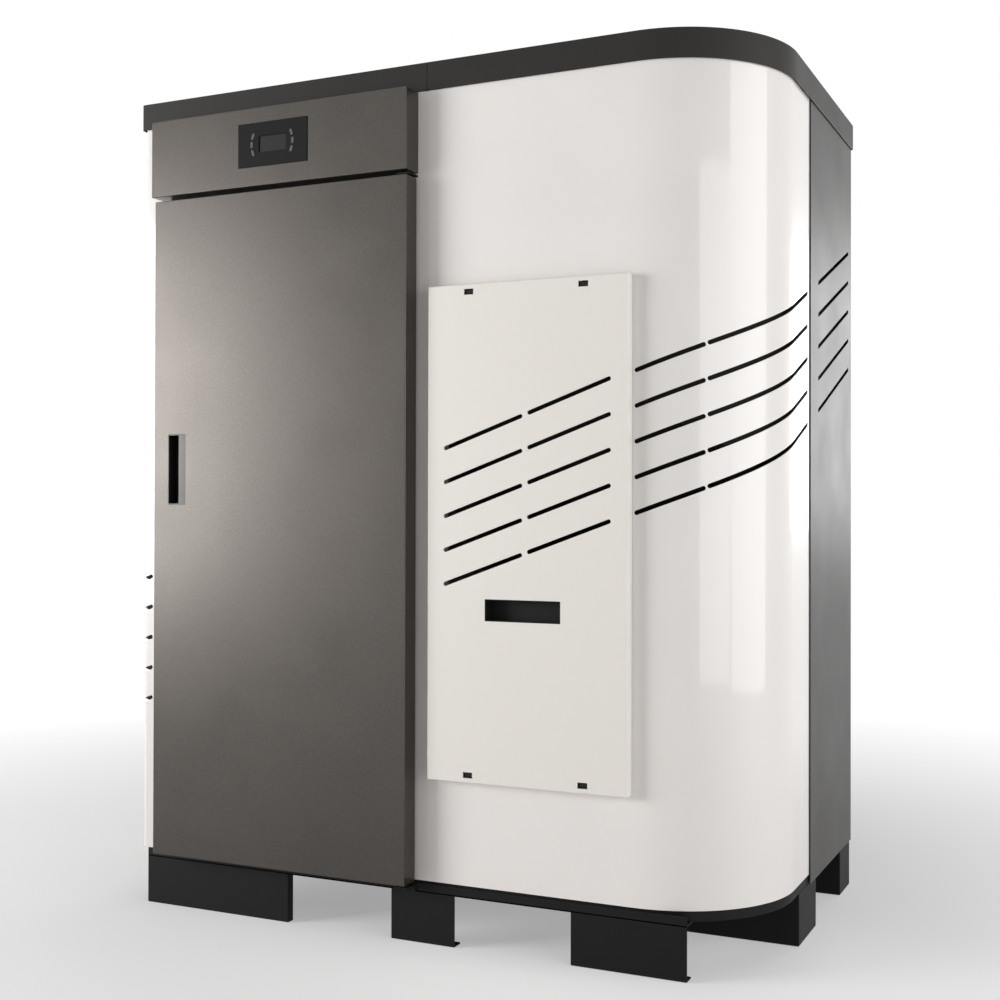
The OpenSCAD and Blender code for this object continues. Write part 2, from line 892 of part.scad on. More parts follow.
module door_hinge_brackets() {
    right = module_right;
    arm = pivot_y - bush_r - 2;
    color("#4a4c4e") {
        block([right - hinge_w, arm, door_top + 2.5], [right, case_f, door_top + 2.5 + hinge_plate]);
        rod_z([pivot_x, pivot_y, door_top - pin_in], door_pin_r, pin_in + 2.5);
        block([right - hinge_w, arm, door_z - 4 - hinge_plate], [right, foot_y, door_z - 4]);
        rod_z([pivot_x, pivot_y, door_z - 4], door_pin_r, pin_in + 4);
        block([right - hinge_w, foot_y - hinge_plate, fork_h + 1], [right, foot_y, door_z - 4]);
    }
}

module door_catch() {
    color("#6b6d70") block([door_left + 24, door_back + 0.4, pull_z - 30],
        [door_left + 40, case_f, pull_z + 30]);
}

// Service panel

module service_panel() {
    bar_l = (service_w - slot_in_l - slot_break - slot_in_r) / 2;
    starts = [service_x + slot_in_l, service_right - slot_in_r - bar_l];
    front = service_y - over;
    back = service_y + sheet + over;
    color("#e5e3d6") difference() {
        block([service_x, service_y, service_z], [service_right, case_f - 0.5, service_top]);
        block([service_x + sheet, service_y + sheet, service_z + sheet],
            [service_right - sheet, case_f + over, service_top - sheet]);
        for (x = [service_x + stud_in, service_right - stud_in],
            z = [service_z + stud_edge, service_top - stud_edge])
            block([x - stud_w / 2 - stud_gap, front, z - stud_h / 2 - stud_gap],
                [x + stud_w / 2 + stud_gap, back, z + stud_h / 2 + stud_gap]);
        block([grip_x - grip_w / 2, front, grip_z - grip_h / 2],
            [grip_x + grip_w / 2, back, grip_z + grip_h / 2]);
        translate([0, service_y - case_f, 0])
            for (s = starts) all_slots(s, s + bar_l, 1);
    }
}

module service_panel_grip() {
    x0 = grip_x - grip_w / 2;
    x1 = grip_x + grip_w / 2;
    z0 = grip_z - grip_h / 2;
    z1 = grip_z + grip_h / 2;
    floor_y = service_y + grip_deep;
    color("#0e0e0e") difference() {
        union() {
            block([x0 + 0.2, service_y, z0 + 0.2], [x1 - 0.2, service_y + sheet, z1 - 0.2]);
            block([x0 - grip_rim, service_y + sheet, z0 - grip_rim],
                [x1 + grip_rim, floor_y, z1 + grip_hook]);
        }
        block([x0 + grip_wall, service_y - over, z0 + grip_wall],
            [x1 - grip_wall, service_y + 2 * sheet, z1 - grip_wall]);
        block([x0 - sheet, service_y + 2 * sheet, z0 - sheet],
            [x1 + sheet, floor_y - sheet, z1 + grip_hook - sheet]);
    }
}

module service_panel_studs() {
    color("#17181a") for (x = [service_x + stud_in, service_right - stud_in],
        z = [service_z + stud_edge, service_top - stud_edge])
        block([x - stud_w / 2, service_y + sheet + 0.5, z - stud_h / 2],
            [x + stud_w / 2, case_f, z + stud_h / 2]);
}

// Boiler

module port(p, y0, y1, grow) {
    block([p[0] - grow, y0, p[1] - grow], [p[0] + p[2] + grow, y1, p[1] + p[3] + grow]);
}

module each_tube() {
    for (ix = [0 : 2], iy = [0 : 2])
        translate([fire_x + fire_w * (2 * ix + 1) / 6, fire_y + (fire_b - fire_y) * (2 * iy + 1) / 6, 0])
            children();
}

module boiler_body() {
    w = plate + 1;
    color("#5d5f61") {
        difference() {
            block([boiler_x, boiler_y, boiler_z], [boiler_r, boiler_b, boiler_top]);
            difference() {
                block([boiler_x + plate, boiler_y + plate, boiler_z + plate],
                    [boiler_r - plate, boiler_b - plate, boiler_top - plate]);
                block([fire_x - w, fire_y - w, fire_z - w], [fire_x + fire_w + w, fire_b + w, fire_top + w]);
                block([fire_x - w, fire_y - w, smoke_z - w], [fire_x + fire_w + w, fire_b + w, boiler_top]);
                each_tube() rod_z([0, 0, fire_top], tube_r + tube_wall, smoke_z - fire_top);
                port(fire_port, boiler_y, fire_y, port_wall);
                port(ash_port, boiler_y, fire_y, port_wall);
                rod_x([fire_x + fire_w, feed_y, burner_z], flame_r + port_wall, boiler_r - fire_x - fire_w);
                rod_y([fan_x, fire_b, fan_z], fan_eye_r + port_wall, boiler_b - fire_b);
            }
            block([fire_x, fire_y, fire_z], [fire_x + fire_w, fire_b, fire_top]);
            block([fire_x, fire_y, smoke_z], [fire_x + fire_w, fire_b, boiler_top + over]);
            each_tube() rod_z([0, 0, fire_top - over], tube_r, smoke_z - fire_top + 2 * over);
            port(fire_port, boiler_y - over, fire_y + over, 0);
            port(ash_port, boiler_y - over, fire_y + over, 0);
            rod_x([fire_x + fire_w - over, feed_y, burner_z], flame_r, 2 * water);
            rod_y([fan_x, fire_b - over, fan_z], fan_eye_r, 2 * water);
            for (z = [flow_z, return_z])
                rod_y([socket_x, boiler_b - 2 * plate, z], pipe_r, 3 * plate);
            rod_y([drain_x, boiler_b - 2 * plate, drain_z], drain_bore, 3 * plate);
        }
        for (x = [boiler_x + skid_in, boiler_r - skid_in - skid_w])
            block([x, boiler_y, base_h], [x + skid_w, boiler_b, boiler_z]);
    }
}

module boiler_insulation() {
    g = wrap_gap;
    half = burner_half + wrap_half;
    color("#d8cfa8") difference() {
        block([boiler_x - wrap_t, boiler_y, boiler_z], [boiler_r + wrap_t, boiler_b, boiler_top]);
        block([boiler_x - g, boiler_y - over, boiler_z - over],
            [boiler_r + g, boiler_b + over, boiler_top + over]);
        block([boiler_r, feed_y - half, burner_z - half],
            [boiler_r + wrap_t + over, feed_y + half, burner_z + half]);
    }
}

module cleaning_cover() {
    top = boiler_top + lid_plate;
    mid = (fire_y + fire_b) / 2;
    color("#4a4c4e") {
        block([fire_x - lid_lap, fire_y - lid_lap, boiler_top],
            [fire_x + fire_w + lid_lap, fire_b + lid_lap, top]);
        for (x = [fire_x + skid_w, fire_x + fire_w - skid_w]) {
            rod_z([x, mid, top], knob_r, 10);
            block([x - 22, mid - 3, top + 6], [x + 22, mid + 3, top + 18]);
        }
    }
}

module turbulators() {
    strip_l = smoke_z - fire_top - twist_lift;
    color("#77797b") each_tube() {
        translate([0, 0, fire_top + twist_lift])
            linear_extrude(height = strip_l, twist = -720, slices = 32, segments = 4)
                square([2 * tube_r - tube_gap, 3], center = true);
        block([-tube_r - 8, -2, smoke_z], [tube_r + 8, 2, smoke_z + 6]);
    }
}

module fire_door() {
    low = [fire_port[0] - port_rim, boiler_y - door_thick, fire_port[1] - port_rim];
    high = [fire_port[0] + fire_port[2] + port_rim, boiler_y, fire_port[1] + fire_port[3] + port_rim];
    lug_x = low[0] - 10;
    lug_y = boiler_y - door_thick / 2;
    color("#3b3c3d") {
        difference() {
            block(low, high);
            rod_y([handle_x, low[1] - over, handle_z], handle_r + run_gap, door_thick + 2 * over);
        }
        port(fire_port, boiler_y, boiler_y + hinge_lug_l, -4);
        for (z = [low[2] + hinge_lug_l, high[2] - 2 * hinge_lug_l]) {
            rod_z([lug_x, lug_y, z], hinge_lug_r, hinge_lug_l);
            block([lug_x, lug_y - 4, z], [low[0], lug_y + 4, z + hinge_lug_l]);
        }
    }
}

module fire_door_handle() {
    y0 = boiler_y - handle_reach;
    grip = handle_r + 2;
    color("#1c1c1c") {
        rod_y([handle_x, y0, handle_z], handle_r, boiler_y - 1 - y0);
        rod_y([handle_x, y0, handle_z], handle_hub_r, 2 * grip);
        block([handle_x - grip, y0, handle_z - handle_l], [handle_x + grip, y0 + 12, handle_z]);
    }
}

module ash_drawer() {
    p = ash_port;
    face = boiler_y - 3;
    front = face - 11;
    x0 = p[0] + drawer_gap;
    x1 = p[0] + p[2] - drawer_gap;
    z1 = p[1] + p[3] - drawer_lap;
    t = drawer_wall;
    mid = (x0 + x1) / 2;
    half = drawer_pull_w / 2;
    pull_low = p[1] + p[3] / 2;
    reach = front - drawer_pull_reach;
    color("#6b6d70") {
        difference() {
            block([x0, face, p[1]], [x1, fire_b - 20, z1]);
            block([x0 + t, face + t, p[1] + t], [x1 - t, fire_b - 20 - t, z1 + over]);
        }
        block([p[0] - drawer_lap, front, p[1] - drawer_lap],
            [p[0] + p[2] + drawer_lap, face, p[1] + p[3] + drawer_gap]);
        for (x = [mid - half, mid + half - bar])
            block([x, reach, pull_low], [x + bar, front, pull_low + bar]);
        block([mid - half, reach, pull_low], [mid + half, reach + 6, pull_low + bar]);
    }
}

// Exhaust

module exhaust_fan_housing() {
    y1 = fan_y + fan_d;
    t = fan_wall;
    side = flue_x + fan_half;
    spigot_l = lid_d + flue_reach - y1;
    color("#8a8c8e") difference() {
        union() {
            rod_y([fan_x, fan_y, fan_z], fan_r, fan_d);
            block([fan_x, fan_y, fan_z - fan_half], [side, y1, fan_z + fan_half]);
            rod_y([flue_x, y1, flue_z], flue_r, spigot_l);
        }
        rod_y([fan_x, fan_y + t, fan_z], fan_r - t, fan_d - 2 * t);
        block([fan_x, fan_y + t, fan_z - fan_half + t], [side - t, y1 - t, fan_z + fan_half - t]);
        rod_y([flue_x, y1 - 2 * t, flue_z], flue_r - t, spigot_l + 3 * t);
        rod_y([fan_x, fan_y - over, fan_z], fan_eye_r, t + 2 * over);
        rod_y([fan_x, y1 - 2 * t, fan_z], 2 * fan_shaft_r, 3 * t);
    }
}

module blades(r0, r1, count, depth) {
    for (k = [0 : count - 1]) rotate([0, 0, 360 * k / count])
        block([r0, -1, 0], [r1, 1, depth]);
}

module exhaust_impeller() {
    back = fan_y + fan_d - impeller_gap;
    color("#b5b7ba") {
        rod_y([fan_x, back - 3, fan_z], impeller_r, 3);
        translate([fan_x, back - 3, fan_z]) rotate([90, 0, 0])
            blades(impeller_r / 3, impeller_r - 2, 8, impeller_d);
        rod_y([fan_x, back - 20, fan_z], 14, 20);
        rod_y([fan_x, back, fan_z], fan_shaft_r, impeller_gap + 30);
    }
}

module exhaust_motor() {
    y0 = fan_y + fan_d;
    color("#2b2b2d") difference() {
        union() {
            rod_y([fan_x, y0, fan_z], motor_plate_r, motor_plate);
            rod_y([fan_x, y0 + motor_plate, fan_z], motor_r, motor_l);
        }
        rod_y([fan_x, y0 - over, fan_z], fan_shaft_r + run_gap, 40);
    }
}

// Water side

module water_connections() {
    color("#b08a45") for (z = [flow_z, return_z]) difference() {
        union() {
            rod_y([socket_x, boiler_b, z], socket_r + pipe_wall, socket_end - boiler_b);
            rod_y([socket_x, socket_end - socket_l, z], socket_r + socket_wall, socket_l);
        }
        rod_y([socket_x, boiler_b - over, z], pipe_r, socket_end - boiler_b + 2 * over);
        rod_y([socket_x, socket_end - socket_l, z], socket_r, socket_l + over);
    }
}

module drain_valve() {
    half = valve_half;
    color("#b08a45") difference() {
        union() {
            rod_y([drain_x, boiler_b, drain_z], drain_r, drain_end - boiler_b);
            block([drain_x - half, valve_y - half, drain_z - half],
                [drain_x + half, valve_y + half, drain_z + half]);
            rod_z([drain_x, valve_y, drain_z + half], 9, 8);
        }
        rod_y([drain_x, boiler_b - over, drain_z], drain_bore, drain_end - boiler_b + 2 * over);
        rod_y([drain_x, drain_end - drain_end_l, drain_z], drain_end_r, drain_end_l + over);
        rod_z([drain_x, valve_y, drain_z + drain_end_r], stem_r + run_gap, 16);
    }
}

module drain_lever() {
    color("#b3261e") {
        rod_z([drain_x, valve_y, drain_z + drain_end_r + 1], stem_r, 14);
        block([drain_x - 8, valve_y - 8, lever_z], [drain_x + 8, valve_y + 8, lever_z + 3]);
        block([drain_x - lever_l, valve_y - 6, lever_z], [drain_x, valve_y + 6, lever_z + 3]);
    }
}

// Hopper and fuel feed

module bin_plan(inset) {
    plan(bin_l + inset, bin_r - inset, bin_f + inset, bin_b - inset, 12 - inset, bin_corner - inset);
}

// Inside or outside of the hopper: straight above the knee, a funnel below it
module bin_form(inset, top, low) {
    t = inset;
    intersection() {
        translate([0, 0, low]) linear_extrude(top - low) bin_plan(t);
        translate([0, lid_d, 0]) rotate([90, 0, 0]) linear_extrude(lid_d) polygon([
            [bin_l + t, top], [bin_l + t, knee_z], [trough_l + t, trough_z],
            [trough_l + t, low - over], [trough_r - t, low - over],
            [trough_r - t, trough_z], [bin_r - t, knee_z], [bin_r - t, top]]);
        rotate([90, 0, 90]) linear_extrude(lid_w) polygon([
            [bin_f + t, top], [bin_f + t, knee_z], [feed_y - trough_half + t, trough_z],
            [feed_y - trough_half + t, low - over], [feed_y + trough_half - t, low - over],
            [feed_y + trough_half - t, trough_z], [bin_b - t, knee_z], [bin_b - t, top]]);
    }
}

// The bin stands on the funnel's upper edge, with a fine seam between the two
module pellet_hopper() {
    color("#9c9fa1") difference() {
        bin_form(0, bin_top, trough_z);
        bin_form(sheet, bin_top + over, trough_z - over);
        block([bin_l - over, bin_f - over, knee_z], [bin_r + over, bin_b + over, knee_z + bin_seam]);
    }
}

module auger_housing() {
    color("#8a8c8e") difference() {
        union() {
            rod_x([auger_l, feed_y, auger_z], auger_out, auger_end - auger_l);
            block([trough_l, feed_y - trough_half, auger_z], [trough_r, feed_y + trough_half, trough_z]);
            rod_x([auger_end - end_wall, feed_y, auger_z], auger_out + tube_flange, end_wall);
        }
        rod_x([auger_l + end_wall, feed_y, auger_z], auger_r, auger_end - auger_l - 2 * end_wall);
        block([trough_l + sheet, feed_y - auger_r, auger_z],
            [trough_r - sheet, feed_y + auger_r, trough_z + over]);
        block([chute_x + 2 * chute_wall, feed_y - slot_half, auger_z - auger_out - over],
            [chute_x + chute_w - 2 * chute_wall, feed_y + slot_half, auger_z]);
        rod_x([auger_l - over, feed_y, auger_z], shaft_r + run_gap, auger_end - auger_l + 2 * over);
    }
}

module auger_screw() {
    flight_l = auger_end - auger_l - 4 * end_wall;
    outer = auger_r - flight_gap;
    color("#b5b7ba") {
        rod_x([auger_l - 8, feed_y, auger_z], shaft_r, auger_end - auger_l + 60);
        translate([auger_l + 2 * end_wall, feed_y, auger_z]) rotate([0, 90, 0])
            linear_extrude(height = flight_l, twist = -360 * flight_l / auger_pitch,
                slices = ceil(flight_l / auger_pitch * 12), segments = 4)
                translate([(shaft_r + outer) / 2, 0])
                    square([outer - shaft_r + 4, flight_t], center = true);
    }
}

module auger_motor() {
    x0 = auger_end;
    color("#2b2b2d") {
        difference() {
            block([x0, feed_y - motor_face, auger_z - gearbox_h],
                [x0 + gearbox_l, feed_y + motor_face, auger_z + gearbox_h]);
            rod_x([x0 - over, feed_y, auger_z], shaft_r + run_gap, 60);
        }
        rod_x([x0 + gearbox_l, feed_y, auger_z], feed_motor_r, 50);
    }
}

module drop_chute() {
    x1 = chute_x + chute_w;
    half = chute_w / 2;
    low = burner_z + burner_half;
    t = chute_wall;
    color("#8a8c8e") difference() {
        block([chute_x, feed_y - half, low], [x1, feed_y + half, auger_z - auger_r / 2]);
        block([chute_x + t, feed_y - half + t, low - over], [x1 - t, feed_y + half - t, auger_z]);
        rod_x([chute_x - over, feed_y, auger_z], auger_out + 0.2, chute_w + 2 * over);
    }
}

module auger_stand() {
    x1 = stand_x + stand_w;
    half = stand_w / 2;
    t = stand_sheet;
    color("#4a4c4e") difference() {
        block([stand_x, feed_y - half, base_h], [x1, feed_y + half, auger_z - 10]);
        block([stand_x + t, feed_y - half - over, base_h + t], [x1 - t, feed_y + half + over, auger_z]);
        rod_x([stand_x - over, feed_y, auger_z], auger_out + 0.2, stand_w + 2 * over);
    }
}

// Burner

module burner_body() {
    h = burner_half;
    rim = h + burner_rim;
    t = burner_wall;
    color("#4a4c4e") difference() {
        union() {
            block([burner_x - burner_flange, feed_y - rim, burner_z - rim],
                [burner_x, feed_y + rim, burner_z + rim]);
            block([burner_x, feed_y - h, burner_z - h], [burner_end, feed_y + h, burner_z + h]);
            rod_x([burner_x - fire_tube_in, feed_y, burner_z], fire_tube_r, fire_tube_in);
        }
        block([burner_x + t, feed_y - h + t, burner_z - h + t],
            [burner_end - t, feed_y + h - t, burner_z + h - t]);
        rod_x([burner_x - fire_tube_in - over, feed_y, burner_z], fire_tube_r - 4, fire_tube_in + 6);
        block([chute_x + 2 * chute_wall, feed_y - slot_half, burner_z],
            [chute_x + chute_w - 2 * chute_wall, feed_y + slot_half, burner_z + h + over]);
        rod_x([burner_end - t - over, feed_y, burner_z], burner_eye_r, t + 2 * over);
    }
}

module burner_fan_housing() {
    t = burner_wall;
    x1 = burner_end + burner_fan_d;
    color("#2b2b2d") difference() {
        union() {
            rod_x([burner_end, feed_y, burner_z], burner_fan_r, burner_fan_d);
            rod_x([x1, feed_y, burner_z], burner_motor_r, burner_motor_l);
        }
        rod_x([burner_end + t, feed_y, burner_z], burner_fan_r - t, burner_fan_d - 2 * t);
        rod_x([burner_end - over, feed_y, burner_z], burner_eye_r, t + 2 * over);
        rod_x([x1 - t - over, feed_y, burner_z], burner_shaft_r + run_gap, burner_motor_l - t);
        for (k = [0 : 5]) translate([x1 - t - over, feed_y, burner_z]) rotate([60 * k, 0, 0])
            rod_x([0, burner_fan_r - 20, 0], 9, t + 2 * over);
    }
}

module burner_impeller() {
    x0 = burner_end + 12;
    color("#b5b7ba") {
        rod_x([x0 + 30, feed_y, burner_z], burner_fan_r - 14, 3);
        translate([x0, feed_y, burner_z]) rotate([0, 90, 0]) blades(18, burner_fan_r - 16, 8, 31);
        rod_x([x0 + 16, feed_y, burner_z], 9, 16);
        rod_x([x0 + 32, feed_y, burner_z], burner_shaft_r, 40);
    }
}

// Power entry

module power_entry() {
    x0 = entry_x;
    z0 = entry_z;
    mid = x0 + entry_w / 2;
    color("#17181a") difference() {
        union() {
            block([x0 + 0.3, case_b - entry_d, z0 + 0.3], [x0 + entry_w - 0.3, case_b, z0 + entry_h - 0.3]);
            block([x0 - entry_rim, case_b, z0 - entry_rim],
                [x0 + entry_w + entry_rim, case_b + 3, z0 + entry_h + entry_rim]);
        }
        block([mid - 12, case_b - 14, z0 + 8], [mid + 12, case_b + 4, z0 + 24]);
        block([mid - 10, case_b - 14, z0 + 36], [mid + 10, case_b + 4, z0 + 50]);
        rod_x([mid - 13, rocker_y, rocker_z], rocker_pin_r + run_gap, 26);
    }
    color("#b5b7ba") for (dx = [-6, 0, 6])
        block([mid - 0.8 + dx, case_b - 15, z0 + (dx == 0 ? 17 : 13)],
            [mid + 0.8 + dx, case_b - 3, z0 + (dx == 0 ? 21 : 17)]);
}

module power_rocker() {
    color("#7a1712") translate([entry_x + entry_w / 2, rocker_y, rocker_z]) rotate([rocker_lean, 0, 0]) {
        block([-9.5, -2.5, -6], [9.5, 3, 6]);
        rod_x([-12.5, 0, 0], rocker_pin_r, 25);
    }
}

place() base_front_beam();
place() base_middle_beam();
place() base_rear_beam();
place() base_deck();
place() left_side_panel();
place() right_side_panel();
place() rear_panel();
place() rear_panel_screws();
place() front_shell();
place() front_frame();
place() partition_wall();
place() top_cover();
place() hopper_lid();
place() lid_seal();
place() lid_hinge_brackets();
place() lid_hinge_pins();
place() control_fascia();
place() display_bezel();
place() display_window();
place() control_board();
place() button(0);  // button_up
place() button(1);  // button_enter
place() button(2);  // button_down
place() button(3);  // button_plus
place() button(4);  // button_back
place() button(5);  // button_minus
place() front_door();
place() door_liner();
place() door_insulation();
place() door_seal();
place() door_pull();
place() door_hinge_brackets();
place() door_catch();
place() service_panel();
place() service_panel_grip();
place() service_panel_studs();
place() boiler_body();
place() boiler_insulation();
place() cleaning_cover();
place() turbulators();
place() fire_door();
place() fire_door_handle();
place() ash_drawer();
place() exhaust_fan_housing();
place() exhaust_impeller();
place() exhaust_motor();
place() water_connections();
place() drain_valve();
place() drain_lever();
place() pellet_hopper();
place() auger_housing();
place() auger_screw();
place() auger_motor();
place() drop_chute();
place() auger_stand();
place() burner_body();
place() burner_fan_housing();
place() burner_impeller();
place() power_entry();
place() power_rocker();
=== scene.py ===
"""Pellet boiler: powder-coated and enamelled casing, lid, door, display and base, in metres."""
import json
import math

import bpy
from mathutils import Matrix, Vector


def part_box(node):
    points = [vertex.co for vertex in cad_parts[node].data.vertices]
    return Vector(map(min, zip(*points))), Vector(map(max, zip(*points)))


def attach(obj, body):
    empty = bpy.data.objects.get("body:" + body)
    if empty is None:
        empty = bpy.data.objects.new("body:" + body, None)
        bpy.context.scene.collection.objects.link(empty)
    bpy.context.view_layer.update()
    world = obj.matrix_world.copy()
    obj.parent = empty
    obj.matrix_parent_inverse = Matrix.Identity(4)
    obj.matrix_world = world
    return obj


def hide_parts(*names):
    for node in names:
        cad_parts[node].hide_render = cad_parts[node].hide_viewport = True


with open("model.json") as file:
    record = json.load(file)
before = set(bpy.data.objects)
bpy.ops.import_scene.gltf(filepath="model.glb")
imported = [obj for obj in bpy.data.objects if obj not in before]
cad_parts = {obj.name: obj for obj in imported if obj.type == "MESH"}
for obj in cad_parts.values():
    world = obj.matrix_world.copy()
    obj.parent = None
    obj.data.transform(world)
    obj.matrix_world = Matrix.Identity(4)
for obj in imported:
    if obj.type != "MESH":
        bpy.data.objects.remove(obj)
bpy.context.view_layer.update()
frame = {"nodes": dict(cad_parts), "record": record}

# How far a cutter reaches past the sheet that it cuts
REACH = 0.01

# Sheet metal
SHEET = 0.002
BASE_SHEET = 0.003
FOLD = 0.0016
SLOT_EDGE = 0.0005
SHELL_CORNER = 0.195
LEFT_CORNER = 0.008
SIDE_PROUD = 0.002
LID_CORNER = 0.198
LID_LEFT_CORNER = 0.004
LID_SEAM = 0.0008
LID_FOLD = 0.0014
ARC_STEP = math.radians(1.5)
LEAST_STEP = 0.0008
DOOR_LIP = 0.020
FINE_EDGE = 0.0003
THIN_EDGE = 0.0004
SHEET_EDGE = 0.0005
FEET_EDGE = 0.0006

# Base, with its feet and the pockets between them
LEFT_FOOT = 0.291
CENTRE_FOOT = 0.113
FORK_POCKET = 0.197
POCKET_HEIGHT = 0.080
SOLE_DEPTH = 0.022
FOOT_RETURN = 0.016
FOOT_SETBACK = 0.026

# Hinges
HINGE_PLACES = (0.157, 0.427)
HINGE_AXIS_Y = 0.32325
HINGE_AXIS_Z = 1.3585
KNUCKLE_RADIUS = 0.0055
KNUCKLE_HALF = 0.012
LEAF_HALF = 0.020
LID_PIN_HOLE = 0.0031
DOOR_PIVOT_IN = 0.008
DOOR_PIVOT_BACK = 0.0185
DOOR_BARREL_RADIUS = 0.007
DOOR_BARREL_HEIGHT = 0.016
DOOR_PIN_RADIUS = 0.004
DOOR_PIN_PLAY = 0.0004
DOOR_PIN_HOLE = DOOR_PIN_RADIUS + DOOR_PIN_PLAY

# Exhaust fan motor
MOTOR_RADIUS = 0.042
MOTOR_CORE = 0.037
MOTOR_FLANGE = 0.003
MOTOR_FINS = 28
FIN_HALF = 0.0008
FIN_ROOT = 0.034
FIN_TIP = 0.0412

# Holes in the rear panel
FLUE_HOLE = 0.067
MOTOR_HOLE = 0.044
PIPE_HOLE = 0.0275
PIPE_END = 0.0255
DRAIN_HOLE = 0.014
DRAIN_END = 0.015
FLUE_IN = 0.076

# Screws of the rear panel
SCREW_HEAD = 0.004
SCREW_SHANK = 0.002
SCREW_ROUND = 0.0011
RECESS_DEPTH = 0.0009
RECESS_LONG = 0.0022
RECESS_THIN = 0.0004

# Vent slots, whose heights rise along the casing
SLOT_ROWS = 5
SLOT_HEIGHT = 0.0068
SLOT_PITCH = 0.053
SLOT_RISE = 0.3635
SLOT_FIRST_Z = 0.569
SLOT_FIRST_IN = 0.020
SHELL_SLOTS = ((0.0015, 0.1080), (0.1105, -0.011))
LEFT_SLOTS = ((-0.125, 0.005), (-0.390, -0.140))
RIGHT_SLOT = (0.057, -0.026)
PANEL_SLOTS = ((0.0285, 0.163), (0.171, -0.0265))

# Openings in the front, as borders inside the piece that covers them
SERVICE_BORDER = (0.026, 0.036)
DISPLAY_BORDER = 0.004
PULL_BORDER = 0.002
CATCH_IN = 0.071
CATCH_DOWN = 0.012
CATCH_HALF = (0.008, 0.0045)
FRAME_BORDER = 0.045
WIRING_HALF = 0.09
WIRING_BORDER = 0.020

# Liner of the door
LINER_BORDER = 0.060
LINER_STEP = 0.004
LINER_DEPTH = 0.0012

# Where the photograph was taken from
CAMERA_PLACE = (1.0458, -2.27435, 0.6877)
CAMERA_TURN = (24.99, 0.41, 0.13)
CAMERA_LENS = 49.82

lid_low, lid_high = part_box("top_cover")
hopper_lid_low, hopper_lid_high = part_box("hopper_lid")
shell_low, shell_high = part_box("front_shell")
left_low, left_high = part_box("left_side_panel")
right_low, right_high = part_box("right_side_panel")
casing_front = shell_low.y
casing_back = right_high.y
casing_left = left_low.x
casing_right = shell_high.x
shell_arc_x = casing_right - SHELL_CORNER
shell_arc_y = casing_front + SHELL_CORNER
left_arc_x = casing_left + LEFT_CORNER
left_arc_y = casing_front + LEFT_CORNER
shell_side = shell_arc_x + SHELL_CORNER * math.pi / 2
left_side = left_arc_x - LEFT_CORNER * math.pi / 2


# Working with Blender's tools

def only(piece):
    """Selects one piece alone and makes it the active one."""
    bpy.ops.object.select_all(action="DESELECT")
    piece.select_set(True)
    bpy.context.view_layer.objects.active = piece


def named(piece, name):
    """Gives a piece and its mesh the same name."""
    piece.name = name
    piece.data.name = name
    return piece


def settle(piece):
    """Puts the piece's place, turn and size into its mesh."""
    only(piece)
    bpy.ops.object.transform_apply(location=True, rotation=True, scale=True)
    return piece


def block(name, low, high):
    """A rectangular block between two corners, from which sheet-metal pieces are shaped."""
    low, high = Vector(low), Vector(high)
    bpy.ops.object.select_all(action="DESELECT")
    bpy.ops.mesh.primitive_cube_add(size=1, location=(low + high) / 2)
    piece = named(bpy.context.object, name)
    piece.scale = high - low
    return settle(piece)


def rod(name, start, end, radius, sides=48):
    """A round rod from one point to another."""
    start, end = Vector(start), Vector(end)
    bpy.ops.object.select_all(action="DESELECT")
    bpy.ops.mesh.primitive_cylinder_add(
        vertices=sides, radius=radius, depth=(end - start).length, location=(start + end) / 2)
    piece = named(bpy.context.object, name)
    piece.rotation_mode = "QUATERNION"
    piece.rotation_quaternion = Vector((0, 0, 1)).rotation_difference(end - start)
    return settle(piece)


def apply_modifier(piece, kind, **settings):
    """Adds a modifier, sets it and applies it."""
    only(piece)
    modifier = piece.modifiers.new(kind.lower(), kind)
    for key, value in settings.items():
        setattr(modifier, key, value)
    bpy.ops.object.modifier_apply(modifier=modifier.name)
    return piece


def join(name, pieces):
    """Joins pieces into one mesh."""
    bpy.ops.object.select_all(action="DESELECT")
    for piece in pieces:
        piece.select_set(True)
    bpy.context.view_layer.objects.active = pieces[0]
    bpy.ops.object.join()
    return named(pieces[0], name)


def cut(piece, *cutters):
    """Cuts the cutters' shapes out of the piece."""
    for cutter in cutters:
        apply_modifier(piece, "BOOLEAN", operation="DIFFERENCE", solver="EXACT", object=cutter)
        bpy.data.objects.remove(cutter)
    return piece


def round_edges(piece, width, segments=2, least=40):
    """Rounds every edge that turns by more than the least angle in degrees."""
    return apply_modifier(piece, "BEVEL", width=width, segments=segments, limit_method="ANGLE",
                          angle_limit=math.radians(least), use_clamp_overlap=True)


def smooth(piece, angle=35):
    """Smooth shading over the rounded edges, with the flat faces kept flat."""
    only(piece)
    bpy.ops.object.shade_smooth_by_angle(angle=math.radians(angle))
    return apply_modifier(piece, "WEIGHTED_NORMAL", keep_sharp=True, weight=90)


def edit(piece, mode="FACE"):
    """Clears the piece's selection of points, edges or faces."""
    only(piece)
    bpy.ops.object.mode_set(mode="EDIT")
    bpy.ops.mesh.select_mode(type=mode)
    bpy.ops.mesh.select_all(action="DESELECT")
    bpy.ops.object.mode_set(mode="OBJECT")


def select_faces(piece, wanted):
    """Goes into edit mode with the wanted faces selected, and nothing else."""
    edit(piece, "FACE")
    for face in piece.data.polygons:
        face.select = wanted(face)
    bpy.ops.object.mode_set(mode="EDIT")


def select_edges(piece, wanted):
    """Goes into edit mode with the edges selected whose two ends pass."""
    edit(piece, "EDGE")
    points = piece.data.vertices
    for line in piece.data.edges:
        line.select = wanted(points[line.vertices[0]].co, points[line.vertices[1]].co)
    bpy.ops.object.mode_set(mode="EDIT")


